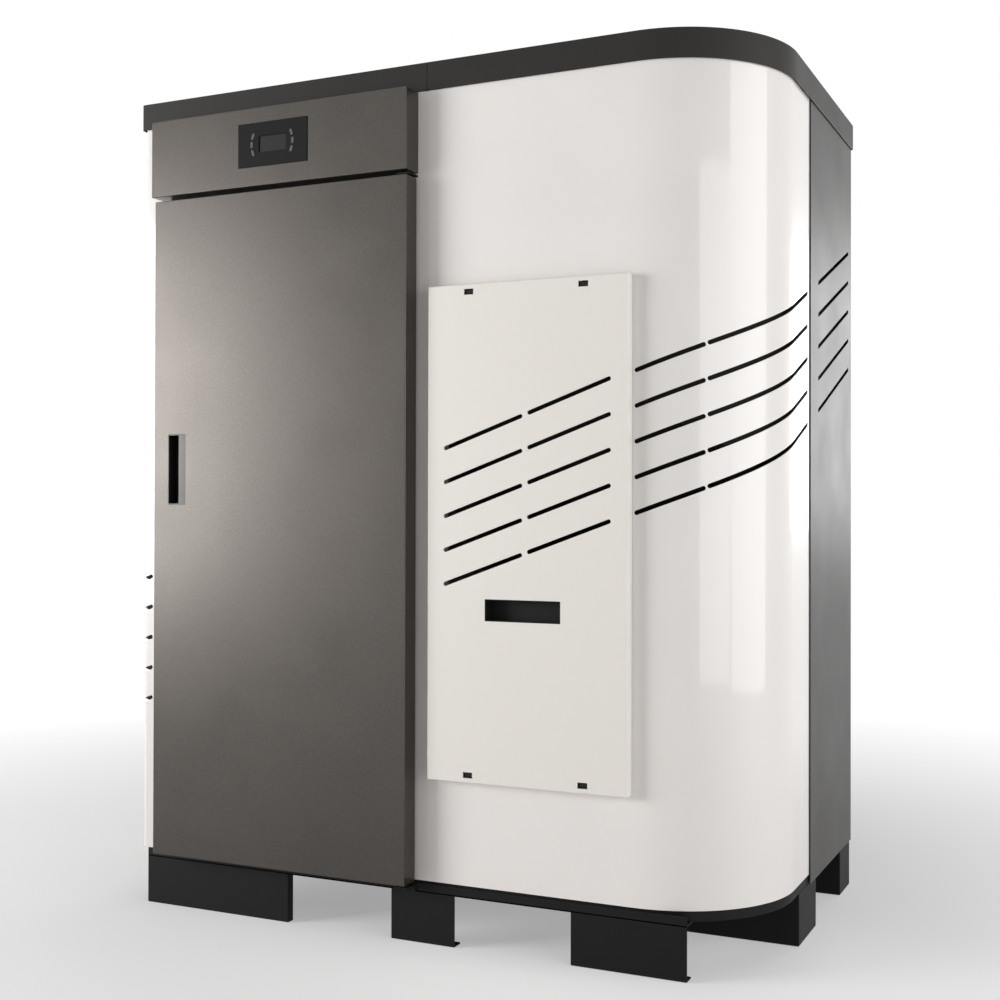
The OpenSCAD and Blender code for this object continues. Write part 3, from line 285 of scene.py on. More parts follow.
def select_points(piece, wanted):
    """Goes into edit mode with the wanted points selected."""
    edit(piece, "VERT")
    for point in piece.data.vertices:
        point.select = wanted(point.co)
    bpy.ops.object.mode_set(mode="EDIT")


def leave_edit():
    bpy.ops.object.mode_set(mode="OBJECT")


def facing(x=0, y=0, z=0):
    """Passes the faces that look in one direction."""
    direction = Vector((x, y, z))
    return lambda face: face.normal.dot(direction) > 0.9


def pan(name, low, high, open_face, sheet=SHEET, fold=FOLD, lip=0.0):
    """A folded sheet-metal pan, open on one side, with a lip turned in round the opening."""
    piece = block(name, low, high)
    select_faces(piece, open_face)
    if lip:
        bpy.ops.mesh.inset(thickness=lip)
    bpy.ops.mesh.delete(type="FACE")
    leave_edit()
    apply_modifier(piece, "BEVEL", width=fold, segments=3, limit_method="ANGLE",
                   angle_limit=math.radians(40))
    apply_modifier(piece, "SOLIDIFY", thickness=sheet, offset=-1, use_even_offset=True)
    return piece


def dress(piece, finish, body="root", replaces=()):
    """Gives a finished piece its material, its body and the nodes that it stands for."""
    piece.data.materials.clear()
    piece.data.materials.append(finish)
    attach(piece, body)
    if replaces:
        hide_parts(*replaces)
    return piece


# Materials

def new_material(name):
    material = bpy.data.materials.new(name)
    material.use_nodes = True
    return material, material.node_tree, material.node_tree.nodes["Principled BSDF"]


def combine(tree, operation, first, second):
    """Two values put together by a sum of the named kind."""
    node = tree.nodes.new("ShaderNodeMath")
    node.operation = operation
    tree.links.new(first, node.inputs[0])
    tree.links.new(second, node.inputs[1])
    return node.outputs[0]


def object_place(tree):
    """The place on the piece itself, which a pattern is laid by."""
    return tree.nodes.new("ShaderNodeTexCoord").outputs["Object"]


def noise(tree, place, scale, detail=2.0, roughness=0.5):
    node = tree.nodes.new("ShaderNodeTexNoise")
    node.inputs["Scale"].default_value = scale
    node.inputs["Detail"].default_value = detail
    node.inputs["Roughness"].default_value = roughness
    tree.links.new(place, node.inputs["Vector"])
    return node.outputs["Fac"]


def spread(tree, value, low, high, start=0.3, end=0.7):
    """Maps a noise's middle range to the range from low to high."""
    node = tree.nodes.new("ShaderNodeMapRange")
    for key, number in (("From Min", start), ("From Max", end), ("To Min", low), ("To Max", high)):
        node.inputs[key].default_value = number
    tree.links.new(value, node.inputs["Value"])
    return node.outputs["Result"]


def shade(tree, value, dark, light, start=0.35, end=0.65):
    """A colour between two, by a value."""
    ramp = tree.nodes.new("ShaderNodeValToRGB")
    ramp.color_ramp.elements[0].position = start
    ramp.color_ramp.elements[0].color = (*dark, 1)
    ramp.color_ramp.elements[1].position = end
    ramp.color_ramp.elements[1].color = (*light, 1)
    tree.links.new(value, ramp.inputs["Fac"])
    return ramp.outputs["Color"]


def bump(tree, height, distance, strength=1.0, under=None):
    node = tree.nodes.new("ShaderNodeBump")
    node.inputs["Strength"].default_value = strength
    node.inputs["Distance"].default_value = distance
    tree.links.new(height, node.inputs["Height"])
    if under is not None:
        tree.links.new(under, node.inputs["Normal"])
    return node.outputs["Normal"]


def tint(colour, factor):
    """A darker or lighter colour of the same hue."""
    return tuple(min(1.0, c * factor) for c in colour)


def powder_coat(name, colour, metallic=0.0, roughness=0.4, gloss=0.5, peel=0.00004, flake=0.12,
                flake_scale=900.0):
    """Powder coat: a fine orange peel, and flakes that catch the light one by one."""
    material, tree, shader = new_material(name)
    place = object_place(tree)
    flakes = noise(tree, place, flake_scale, 1.0, 0.6)
    cloud = noise(tree, place, 9.0, 3.0)
    tree.links.new(shade(tree, flakes, tint(colour, 1 - flake), tint(colour, 1 + flake)),
                   shader.inputs["Base Color"])
    tree.links.new(spread(tree, cloud, roughness - 0.025, roughness + 0.025),
                   shader.inputs["Roughness"])
    shader.inputs["Metallic"].default_value = metallic
    shader.inputs["Specular IOR Level"].default_value = gloss
    fine = bump(tree, flakes, peel * 0.35)
    tree.links.new(bump(tree, noise(tree, place, 420.0, 2.0), peel, under=fine),
                   shader.inputs["Normal"])
    return material


def gloss_enamel(name, colour):
    """Stoved gloss enamel: a clear hard coat with a long, shallow orange peel."""
    material, tree, shader = new_material(name)
    place = object_place(tree)
    cloud = noise(tree, place, 5.0, 3.0)
    tree.links.new(shade(tree, cloud, tint(colour, 0.985), tint(colour, 1.01)),
                   shader.inputs["Base Color"])
    tree.links.new(spread(tree, cloud, 0.32, 0.38), shader.inputs["Roughness"])
    shader.inputs["Coat Weight"].default_value = 0.75
    shader.inputs["Coat Roughness"].default_value = 0.05
    peel = bump(tree, noise(tree, place, 110.0, 1.0), 0.00001)
    tree.links.new(peel, shader.inputs["Coat Normal"])
    tree.links.new(bump(tree, noise(tree, place, 700.0, 1.0), 0.00001), shader.inputs["Normal"])
    return material


def galvanised(name, colour=(0.55, 0.56, 0.57), roughness=0.42):
    """Zinc-coated sheet with its spangle and dull patches."""
    material, tree, shader = new_material(name)
    place = object_place(tree)
    cells = tree.nodes.new("ShaderNodeTexVoronoi")
    cells.inputs["Scale"].default_value = 95.0
    tree.links.new(place, cells.inputs["Vector"])
    spangle = cells.outputs["Color"]
    tree.links.new(shade(tree, spangle, tint(colour, 0.8), tint(colour, 1.15), 0.1, 0.9),
                   shader.inputs["Base Color"])
    tree.links.new(spread(tree, spangle, roughness - 0.08, roughness + 0.12, 0, 1),
                   shader.inputs["Roughness"])
    shader.inputs["Metallic"].default_value = 0.9
    tree.links.new(bump(tree, noise(tree, place, 260.0, 3.0), 0.00003), shader.inputs["Normal"])
    return material


def worked_metal(name, colour, metallic=1.0, roughness=0.3, grain=(60.0, 900.0, 900.0),
                 depth=0.00002):
    """Turned, drawn or plated metal with fine marks along one direction."""
    material, tree, shader = new_material(name)
    place = object_place(tree)
    mapping = tree.nodes.new("ShaderNodeMapping")
    mapping.inputs["Scale"].default_value = grain
    tree.links.new(place, mapping.inputs["Vector"])
    marks = noise(tree, mapping.outputs["Vector"], 1.0, 3.0, 0.6)
    tree.links.new(shade(tree, marks, tint(colour, 0.88), tint(colour, 1.08)),
                   shader.inputs["Base Color"])
    tree.links.new(spread(tree, marks, roughness - 0.06, roughness + 0.08),
                   shader.inputs["Roughness"])
    shader.inputs["Metallic"].default_value = metallic
    tree.links.new(bump(tree, marks, depth), shader.inputs["Normal"])
    return material


def cast_surface(name, colour, roughness=0.62, scale=300.0, depth=0.00025, metallic=0.0):
    """Sand-cast or rough painted metal."""
    material, tree, shader = new_material(name)
    place = object_place(tree)
    sand = noise(tree, place, scale, 4.0, 0.65)
    cloud = noise(tree, place, 14.0, 3.0)
    tree.links.new(shade(tree, cloud, tint(colour, 0.82), tint(colour, 1.2)),
                   shader.inputs["Base Color"])
    tree.links.new(spread(tree, sand, roughness - 0.08, roughness + 0.1),
                   shader.inputs["Roughness"])
    shader.inputs["Metallic"].default_value = metallic
    tree.links.new(bump(tree, sand, depth), shader.inputs["Normal"])
    return material


def mineral_wool(name, colour):
    """Matted fibres of stone wool."""
    material, tree, shader = new_material(name)
    place = object_place(tree)
    mapping = tree.nodes.new("ShaderNodeMapping")
    mapping.inputs["Scale"].default_value = (90.0, 90.0, 420.0)
    tree.links.new(place, mapping.inputs["Vector"])
    fibres = noise(tree, mapping.outputs["Vector"], 1.0, 6.0, 0.75)
    tufts = noise(tree, place, 38.0, 4.0, 0.6)
    tree.links.new(shade(tree, fibres, tint(colour, 0.62), tint(colour, 1.2)),
                   shader.inputs["Base Color"])
    shader.inputs["Roughness"].default_value = 0.95
    shader.inputs["Sheen Weight"].default_value = 0.2
    low = bump(tree, tufts, 0.004, 0.8)
    tree.links.new(bump(tree, fibres, 0.0012, under=low), shader.inputs["Normal"])
    return material


def moulded_plastic(name, colour, roughness=0.45, grain=520.0, depth=0.00004, gloss=0.5):
    """Moulded plastic with a fine eroded grain."""
    material, tree, shader = new_material(name)
    place = object_place(tree)
    texture = noise(tree, place, grain, 3.0, 0.6)
    tree.links.new(shade(tree, texture, tint(colour, 0.85), tint(colour, 1.15)),
                   shader.inputs["Base Color"])
    tree.links.new(spread(tree, texture, roughness - 0.06, roughness + 0.06),
                   shader.inputs["Roughness"])
    shader.inputs["Specular IOR Level"].default_value = gloss
    tree.links.new(bump(tree, texture, depth), shader.inputs["Normal"])
    return material


def display_glass(name):
    """The window over an unlit display: near black, smooth, with a faint grid of segments."""
    material, tree, shader = new_material(name)
    place = object_place(tree)
    cells = tree.nodes.new("ShaderNodeTexBrick")
    cells.offset = 0.0
    for key, value in (("Scale", 380.0), ("Mortar Size", 0.08), ("Brick Width", 1.0),
                       ("Row Height", 1.6)):
        cells.inputs[key].default_value = value
    cells.inputs["Color1"].default_value = (0.018, 0.0185, 0.021, 1)
    cells.inputs["Color2"].default_value = (0.020, 0.0205, 0.023, 1)
    cells.inputs["Mortar"].default_value = (0.012, 0.0125, 0.014, 1)
    turn = tree.nodes.new("ShaderNodeMapping")
    turn.inputs["Rotation"].default_value = (math.radians(90), 0, 0)
    tree.links.new(place, turn.inputs["Vector"])
    tree.links.new(turn.outputs["Vector"], cells.inputs["Vector"])
    tree.links.new(cells.outputs["Color"], shader.inputs["Base Color"])
    shader.inputs["Roughness"].default_value = 0.3
    shader.inputs["Specular IOR Level"].default_value = 0.15
    shader.inputs["Coat Weight"].default_value = 0.1
    shader.inputs["Coat Roughness"].default_value = 0.04
    return material


finishes = {
    "base_black": powder_coat("satin_black_base", (0.005, 0.0048, 0.0048), 0.0, 0.58, 0.15),
    "casing_white": gloss_enamel("white_enamel", (0.77, 0.735, 0.71)),
    "casing_dark": powder_coat("anthracite_side_coat", (0.028, 0.026, 0.024), 0.0, 0.42, 0.28),
    "lid_dark": powder_coat("anthracite_lid_coat", (0.020, 0.0182, 0.0167), 0.0, 0.45, 0.18),
    "module_anthracite": powder_coat("anthracite_door_coat", (0.072, 0.065, 0.059), 0.7, 0.30,
                                     0.4, flake=0.2),
    "pull_plate": powder_coat("anthracite_pull_coat", (0.044, 0.0415, 0.039), 0.7, 0.32, 0.4,
                              flake=0.2),
    # Near-black coat for the hopper's outer walls: painted shade, standing in for the dark inside
    # of the cabinet seen through the vent slots.
    "hopper_painted_shade": powder_coat("painted_shade_black", (0.035, 0.034, 0.033), 0.0, 0.75, 0.15,
                               peel=0.0002),
    "panel_cream": powder_coat("cream_panel_coat", (0.755, 0.725, 0.675), 0.0, 0.36,
                               peel=0.00003, flake=0.012),
    "galvanised_sheet": galvanised("galvanised_steel"),
    "zinc_steel": worked_metal("zinc_plated_steel", (0.62, 0.63, 0.64)),
    "dark_steel": powder_coat("black_oxide_steel", (0.05, 0.05, 0.052), 0.5, 0.45),
    "boiler_steel": cast_surface("heat_proof_paint", (0.055, 0.057, 0.06), 0.55, 420.0, 0.00008),
    "cast_door": cast_surface("painted_cast_iron", (0.035, 0.035, 0.037)),
    "mineral_wool": mineral_wool("stone_wool", (0.62, 0.55, 0.36)),
    "seal_rubber": moulded_plastic("seal_rubber_black", (0.014, 0.014, 0.014), 0.75, 300.0, 0.0001),
    "plastic_black": moulded_plastic("moulded_black_plastic", (0.012, 0.012, 0.012), 0.6,
                                     gloss=0.15),
    "bezel_black": moulded_plastic("bezel_plastic", (0.009, 0.009, 0.0095), 0.5, 700.0, 0.00002,
                                   0.08),
    "display_glass": display_glass("display_glass_dark"),
    "board_green": moulded_plastic("circuit_board_green", (0.02, 0.12, 0.05), 0.35, 160.0, 0.0001),
    "button_grey": moulded_plastic("button_rubber_grey", (0.095, 0.10, 0.108), 0.55, 400.0,
                                   gloss=0.15),
    "impeller_aluminium": worked_metal("spun_aluminium", (0.70, 0.71, 0.72), 1.0, 0.35),
    "brass_fitting": worked_metal("machined_brass", (0.72, 0.50, 0.22), 1.0, 0.28),
    "plastic_red": moulded_plastic("moulded_red_plastic", (0.45, 0.03, 0.02), 0.4),
}


# Camera

def place_camera():
    """The camera stands where the photograph was taken from: a turn left, a tilt up, a roll."""
    turn, tilt, roll = (math.radians(a) for a in CAMERA_TURN)
    bpy.ops.object.camera_add(location=CAMERA_PLACE)
    camera = bpy.context.object
    camera.name = "photo_camera"
    pose = (Matrix.Rotation(turn, 4, "Z") @ Matrix.Rotation(math.pi / 2 + tilt, 4, "X")
            @ Matrix.Rotation(roll, 4, "Z"))
    camera.rotation_euler = pose.to_euler()
    camera.data.sensor_width = 36.0
    camera.data.lens = CAMERA_LENS
    camera.data.clip_start = 0.05
    camera.data.clip_end = 200.0
    bpy.context.scene.camera = camera


place_camera()


# Casing sheets: made flat, along the casing's developed length, then rolled round the corners

def turn_at(s):
    """How far the casing has turned at a developed length."""
    if s > shell_arc_x:
        return min((s - shell_arc_x) / SHELL_CORNER, math.pi / 2)
    if s < left_arc_x:
        return -min((left_arc_x - s) / LEFT_CORNER, math.pi / 2)
    return 0.0


def rolled(s, depth, z):
    """The place on the casing of a point of the flat sheet, depth counted inwards."""
    a = turn_at(s)
    if s > shell_side:
        return Vector((casing_right - depth, shell_arc_y + s - shell_side, z))
    if s < left_side:
        return Vector((casing_left + depth, left_arc_y + left_side - s, z))
    if a > 0:
        r = SHELL_CORNER - depth
        return Vector((shell_arc_x + r * math.sin(a), shell_arc_y - r * math.cos(a), z))
    if a < 0:
        r = LEFT_CORNER - depth
        return Vector((left_arc_x + r * math.sin(a), left_arc_y - r * math.cos(a), z))
    return Vector((s, casing_front + depth, z))


def slot_height(s, row):
    return SLOT_FIRST_Z + SLOT_RISE * (s - lid_low.x - SLOT_FIRST_IN) - SLOT_PITCH * row


def slot_cutter(start, end, row, near, far):
    """A round-ended bar that cuts one slot, from a drum whose right half is pulled along."""
    start, end = start + SLOT_HEIGHT / 2, end - SLOT_HEIGHT / 2
    bpy.ops.object.select_all(action="DESELECT")
    bpy.ops.mesh.primitive_cylinder_add(vertices=24, radius=SLOT_HEIGHT / 2, depth=far - near,
                                        location=(0, (near + far) / 2, 0),
                                        rotation=(math.pi / 2, math.radians(7.5), 0))
    cutter = settle(bpy.context.object)
    length = (end - start) / math.cos(math.atan(SLOT_RISE))
    select_points(cutter, lambda co: co.x > 0)
    bpy.ops.transform.translate(value=(length, 0, 0))
    leave_edit()
    cutter.rotation_euler = (0, -math.atan(SLOT_RISE), 0)
    cutter.location = (start, 0, slot_height(start, row))
    return settle(cutter)


def slot_cutters(runs, near, far):
    """All rows of the runs of slots, as one cutter."""
    bars = [slot_cutter(start, end, row, near, far) for start, end in runs
            for row in range(SLOT_ROWS)]
    return join("slot_cutters", bars)


def roll_sheet(piece, bends):
    """Cuts the flat sheet finely across its bends, then rolls its points and normals."""
    for start, end, radius in bends:
        count = round(abs(end - start) / max(radius * ARC_STEP, LEAST_STEP))
        for k in range(count + 1):
            edit(piece)
            bpy.ops.object.mode_set(mode="EDIT")
            bpy.ops.mesh.select_all(action="SELECT")
            bpy.ops.mesh.bisect(plane_co=(start + (end - start) * k / count, 0, 0),
                                plane_no=(1, 0, 0))
            leave_edit()
    smooth(piece)
    mesh = piece.data
    flat_normals = [Vector(n.vector) for n in mesh.corner_normals]
    lengths = [v.co.x for v in mesh.vertices]
    for v in mesh.vertices:
        v.co = rolled(*v.co)
    turned = []
    for corner, normal in zip(mesh.loops, flat_normals):
        a = turn_at(lengths[corner.vertex_index])
        turned.append((normal.x * math.cos(a) - normal.y * math.sin(a),
                       normal.x * math.sin(a) + normal.y * math.cos(a), normal.z))
    mesh.normals_split_custom_set(turned)
    mesh.update()
    return piece


def casing_sheet(name, start, end, low, high, runs, bends, opening=None):
    """One sheet of the casing with its slots, from one developed length to another."""
    piece = block(name, (start, 0, low), (end, SHEET, high))
    if opening:
        cut(piece, block("opening_cutter", *opening))
    cut(piece, slot_cutters(runs, -REACH, REACH))
    round_edges(piece, SLOT_EDGE)
    return roll_sheet(piece, bends)


def make_hopper_casing():
    """The white front sheet that is rolled round the right corner."""
    end = shell_side + shell_high.y - shell_arc_y
    panel_low, panel_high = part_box("service_panel")
    inner, outer = SHELL_SLOTS
    runs = [(shell_arc_x + inner[0], shell_arc_x + inner[1]),
            (shell_arc_x + outer[0], end + outer[1])]
    side, top = SERVICE_BORDER
    opening = ((panel_low.x + side, -REACH, panel_low.z + top),
               (panel_high.x - side, REACH, panel_high.z - top))
    piece = casing_sheet("hopper_casing", shell_low.x, end, shell_low.z, shell_high.z, runs,
                         [(shell_arc_x, shell_side, SHELL_CORNER)], opening)
    return dress(piece, finishes["casing_white"], replaces=["front_shell"])


def make_left_casing():
    """The white left sheet, folded round the front corner."""
    start = left_side - (left_high.y - left_arc_y)
    first = lid_low.x + SLOT_FIRST_IN
    runs = [(first + near, first + far) for near, far in LEFT_SLOTS]
    piece = casing_sheet("left_casing", start, left_high.x, left_low.z, left_high.z, runs,
                         [(left_side, left_arc_x, LEFT_CORNER)])
    return dress(piece, finishes["casing_white"], replaces=["left_side_panel"])


def make_right_casing():
    """The dark right sheet, whose folded front edge stands a little proud of the white one."""
    start = shell_side + right_low.y - shell_arc_y
    end = shell_side + right_high.y - shell_arc_y
    runs = [(start + RIGHT_SLOT[0], end + RIGHT_SLOT[1])]
    sheet = casing_sheet("right_casing", start, end, right_low.z, right_high.z, runs, [])
    fold_low = (right_low.x, right_low.y, right_low.z + 0.029)
    fold = block("right_fold", fold_low, (casing_right - SHEET, right_low.y + SHEET, right_high.z))
    round_edges(fold, THIN_EDGE)
    smooth(fold)
    piece = join("right_casing", [sheet, fold])
    piece.location.x = SIDE_PROUD
    settle(piece)
    return dress(piece, finishes["casing_dark"], replaces=["right_side_panel"])


make_hopper_casing()
make_left_casing()
make_right_casing()


# Lid

def round_lid_edges(piece, seam_x):
    """Rounds a lid's edges, those at the seam only a little."""
    edit(piece, "EDGE")
    bpy.ops.object.mode_set(mode="EDIT")
    bpy.ops.mesh.edges_select_sharp(sharpness=math.radians(40))
    leave_edit()
    points = piece.data.vertices
    weights = piece.data.attributes.new("bevel_weight_edge", "FLOAT", "EDGE")
    for line in piece.data.edges:
        if line.select:
            seam = all(abs(points[k].co.x - seam_x) < 0.0001 for k in line.vertices)
            weights.data[line.index].value = 0.2 if seam else 1.0
    return apply_modifier(piece, "BEVEL", width=LID_FOLD, segments=3, limit_method="WEIGHT",
                          use_clamp_overlap=True)


def lid_part(name, low, high, corner_x, corner_r, seam_x):
    """A lid with one rounded front corner, hollow underneath, with a rolled top edge."""
    piece = block(name, low, high)
    select_edges(piece, lambda a, b: abs(a.z - b.z) > 0.01 and abs(a.x - corner_x) < 0.001
                 and a.y < (low.y + high.y) / 2)
    bpy.ops.mesh.bevel(offset=corner_r, segments=60, affect="EDGES")
    leave_edit()
    select_faces(piece, facing(z=-1))
    bpy.ops.mesh.inset(thickness=SHEET)
    hollow = (0, 0, high.z - low.z - SHEET)
    bpy.ops.mesh.extrude_region_move(TRANSFORM_OT_translate={"value": hollow})
    leave_edit()
    round_lid_edges(piece, seam_x)
    return smooth(piece)


def lid_knuckle(x):
    """The lid's half of one hinge: a leaf under the rim, and the knuckle that it is rolled into."""
    back = lid_high.y
    leaf = block("hinge_leaf", (x - LEAF_HALF, back - 0.0005, HINGE_AXIS_Z + 0.004),
                 (x + LEAF_HALF, back + SHEET, lid_high.z - 0.005))
    neck = block("hinge_neck", (x - KNUCKLE_HALF, back, HINGE_AXIS_Z + 0.0025),
                 (x + KNUCKLE_HALF, HINGE_AXIS_Y, HINGE_AXIS_Z + KNUCKLE_RADIUS))
    knuckle = rod("knuckle", (x - KNUCKLE_HALF, HINGE_AXIS_Y, HINGE_AXIS_Z),
                  (x + KNUCKLE_HALF, HINGE_AXIS_Y, HINGE_AXIS_Z), KNUCKLE_RADIUS)
    cut(knuckle, rod("pin_cutter", (x - LEAF_HALF, HINGE_AXIS_Y, HINGE_AXIS_Z),
                     (x + LEAF_HALF, HINGE_AXIS_Y, HINGE_AXIS_Z), LID_PIN_HOLE, 32))
    for part in (leaf, neck, knuckle):
        round_edges(part, THIN_EDGE)
    return [leaf, neck, knuckle]


def make_lids():
    """The fixed cover and the hinged lid, with a fine seam between the two."""
    middle = (lid_high.x + hopper_lid_low.x) / 2
    low = Vector(lid_low)
    high = Vector((middle - LID_SEAM / 2, lid_high.y, lid_high.z))
    cover = lid_part("boiler_bay_lid", low, high, low.x, LID_LEFT_CORNER, high.x)
    dress(cover, finishes["lid_dark"], replaces=["top_cover"])
    low = Vector((middle + LID_SEAM / 2, lid_low.y, lid_low.z))
    high = Vector((hopper_lid_high.x, lid_high.y, lid_high.z))
    lid = lid_part("hopper_bay_lid", low, high, high.x, LID_CORNER, low.x)
    lid = join("hopper_bay_lid", [lid] + [part for x in HINGE_PLACES for part in lid_knuckle(x)])
    smooth(lid)
    dress(lid, finishes["lid_dark"], "hopper_lid", replaces=["hopper_lid"])


make_lids()


# Door and fascia

def door_barrel(x, y, low, high):
    """A tube welded into the door's corner, which turns on a hinge pin."""
    barrel = rod("door_barrel", (x, y, low), (x, y, high), DOOR_BARREL_RADIUS)
    cut(barrel, rod("pin_cutter", (x, y, low - REACH), (x, y, high + REACH), DOOR_PIN_HOLE, 32))
    return round_edges(barrel, THIN_EDGE)


def make_door():
    """The door as a folded pan, with the hole for its pull and the barrels that it turns on."""
    low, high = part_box("front_door")
    piece = pan("door_panel", low, high, facing(y=1), lip=DOOR_LIP)
    pull_low, pull_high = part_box("door_pull")
    hole = block("pull_cutter",
                 (pull_low.x + PULL_BORDER, low.y - REACH, pull_low.z + PULL_BORDER),
                 (pull_high.x - PULL_BORDER, low.y + REACH, pull_high.z - PULL_BORDER))
    pivot_x, pivot_y = high.x - DOOR_PIVOT_IN, low.y + DOOR_PIVOT_BACK
    pin_holes = [rod("pin_cutter", (pivot_x, pivot_y, z - 0.003), (pivot_x, pivot_y, z + 0.003),
                     DOOR_PIN_HOLE, 32) for z in (low.z, high.z)]
    cut(piece, hole, *pin_holes)
    round_edges(piece, FINE_EDGE)
    barrels = [door_barrel(pivot_x, pivot_y, z, z + DOOR_BARREL_HEIGHT)
               for z in (low.z, high.z - DOOR_BARREL_HEIGHT)]
    piece = join("door_panel", [piece] + barrels)
    smooth(piece)
    return dress(piece, finishes["module_anthracite"], "front_door",
                 ["front_door"])


def make_fascia():
    """The fascia over the door, cut out behind the display."""
    low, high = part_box("control_fascia")
    piece = pan("fascia_panel", low, high, facing(y=1))
    bezel_low, bezel_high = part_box("display_bezel")
    inside = DISPLAY_BORDER
    cut(piece, block("display_cutter",
                     (bezel_low.x + inside, low.y - REACH, bezel_low.z + inside),
                     (bezel_high.x - inside, low.y + REACH, bezel_high.z - inside)))
    round_edges(piece, FINE_EDGE)
    smooth(piece)
    return dress(piece, finishes["module_anthracite"],
                 replaces=["control_fascia"])


make_door()
make_fascia()


# Service panel

def make_service_panel():
    """The lift-off cover with its slots, its grip and the slots of its catches."""
    low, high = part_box("service_panel")
    piece = pan("cover_panel", low, high, facing(y=1), fold=0.0018)
    inner, outer = PANEL_SLOTS
    runs = [(low.x + inner[0], low.x + inner[1]), (low.x + outer[0], high.x + outer[1])]
    cutters = slot_cutters(runs, low.y - REACH, low.y + REACH)
    grip_low, grip_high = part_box("service_panel_grip")
    grip = block("grip_cutter", (grip_low.x + 0.004, low.y - REACH, grip_low.z + 0.004),
                 (grip_high.x - 0.004, low.y + REACH, grip_high.z - 0.010))
    half_x, half_z = CATCH_HALF
    catches = [block("catch_cutter", (x - half_x, low.y - REACH, z - half_z),
                     (x + half_x, low.y + REACH, z + half_z))
               for x in (low.x + CATCH_IN, high.x - CATCH_IN)
               for z in (low.z + CATCH_DOWN, high.z - CATCH_DOWN)]
    cut(piece, cutters, grip, *catches)
    round_edges(piece, THIN_EDGE)
    smooth(piece)
    return dress(piece, finishes["panel_cream"], "service_panel",
                 ["service_panel"])


make_service_panel()


# Pieces that keep their drawn shape, with their edges eased

body_of_node = {node: body for body, nodes in frame["record"]["behaviour"]["bodies"].items()
                for node in nodes}
slot_of_node = {part["node"]: part["material_slot"] for part in frame["record"]["subparts"]}


def drawn_copy(name, node):
    """A copy of a drawn piece as one clean mesh, with its flat faces whole again."""
    piece = bpy.data.objects.new(name, frame["nodes"][node].data.copy())
    bpy.context.scene.collection.objects.link(piece)
    named(piece, name)
    only(piece)
    bpy.ops.object.mode_set(mode="EDIT")
    bpy.ops.mesh.select_mode(type="VERT")
    bpy.ops.mesh.select_all(action="SELECT")
    bpy.ops.mesh.remove_doubles(threshold=0.00001)
    bpy.ops.mesh.dissolve_limited(angle_limit=math.radians(0.5))
    leave_edit()
    return piece


def ease(name, node, width, segments=2):
    """The drawn piece with each sharp edge rounded."""
    piece = drawn_copy(name, node)
    round_edges(piece, width, segments, least=30)
    smooth(piece)
    slot = slot_of_node[node]
    return dress(piece, finishes[slot], body_of_node[node], [node])


# Base

def foot_spans(node):
    """Where the three feet of one row begin and end."""
    low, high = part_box(node)
    middle = low.x + LEFT_FOOT + FORK_POCKET
    return [(low.x, low.x + LEFT_FOOT), (middle, middle + CENTRE_FOOT),
            (middle + CENTRE_FOOT + FORK_POCKET, high.x)]


def make_front_feet():
    """The front sheet: a strap, three flat feet with soles, and a return on the left one's side."""
    low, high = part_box("base_front_beam")
    top = POCKET_HEIGHT + BASE_SHEET
    parts = [block("strap", (low.x, low.y, POCKET_HEIGHT), (high.x, high.y, top)),
             block("apron", (low.x, low.y, POCKET_HEIGHT), (high.x, casing_front + SHEET, high.z))]
    for start, end in foot_spans("base_front_beam"):
        depth = FOOT_RETURN if start == low.x else SOLE_DEPTH
        inner = end - BASE_SHEET if start == low.x else end + REACH
        foot = block("foot", (start, low.y, 0), (end, low.y + depth, top))
        cut(foot, block("foot_cutter", (start - REACH, low.y + BASE_SHEET, BASE_SHEET),
                        (inner, high.y, POCKET_HEIGHT + REACH)))
        select_edges(foot, lambda a, b: abs(a.y - low.y) < 0.0001 and abs(b.y - low.y) < 0.0001
                     and a.z < 0.0001 and b.z < 0.0001)
        bpy.ops.mesh.bevel(offset=0.0022, segments=4, affect="EDGES")
        leave_edit()
        parts.append(foot)
    for part in parts:
        round_edges(part, FEET_EDGE)
    piece = join("front_feet", parts)
    smooth(piece)
    return dress(piece, finishes["base_black"], replaces=["base_front_beam"])


def make_beam(name, node, setback=0.0):
    """A row of three box feet under one strap, the inner ones set back from the front edge."""
    low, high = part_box(node)
    parts = [block("strap", (low.x, low.y, POCKET_HEIGHT - 0.0004), (high.x, high.y, high.z))]
    round_edges(parts[0], 0.0008)
    for start, end in foot_spans(node):
        front = low.y if end == high.x else low.y + setback
        foot = block("foot", (start, front, 0), (end, high.y, POCKET_HEIGHT))
        parts.append(round_edges(foot, 0.0016))
    piece = join(name, parts)
    smooth(piece)
    return dress(piece, finishes["base_black"], replaces=[node])


make_front_feet()
make_beam("middle_feet", "base_middle_beam", FOOT_SETBACK)
make_beam("rear_feet", "base_rear_beam")


# Frame behind the door, and the rear panel

def make_front_frame():
    """The sheet behind the door and the fascia, open to the boiler and for the wiring."""
    low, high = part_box("front_frame")
    boiler_low, boiler_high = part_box("boiler_body")
    fascia_low, fascia_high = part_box("control_fascia")
    board_low, board_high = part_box("control_board")
    board_x = (board_low.x + board_high.x) / 2
    piece = block("door_frame", low, high)
    access = block("access_cutter", (boiler_low.x + 0.035, low.y - REACH, low.z + FRAME_BORDER),
                   (boiler_high.x - 0.020, high.y + REACH, fascia_low.z - FRAME_BORDER))
    wiring = block("wiring_cutter",
                   (board_x - WIRING_HALF, low.y - REACH, fascia_low.z + WIRING_BORDER),
                   (board_x + WIRING_HALF, high.y + REACH, fascia_high.z - WIRING_BORDER))
    for cutter in (access, wiring):
        round_edges(cutter, 0.006, 4)
    cut(piece, access, wiring)
    round_edges(piece, SHEET_EDGE)
    smooth(piece)
    return dress(piece, finishes["casing_dark"], replaces=["front_frame"])


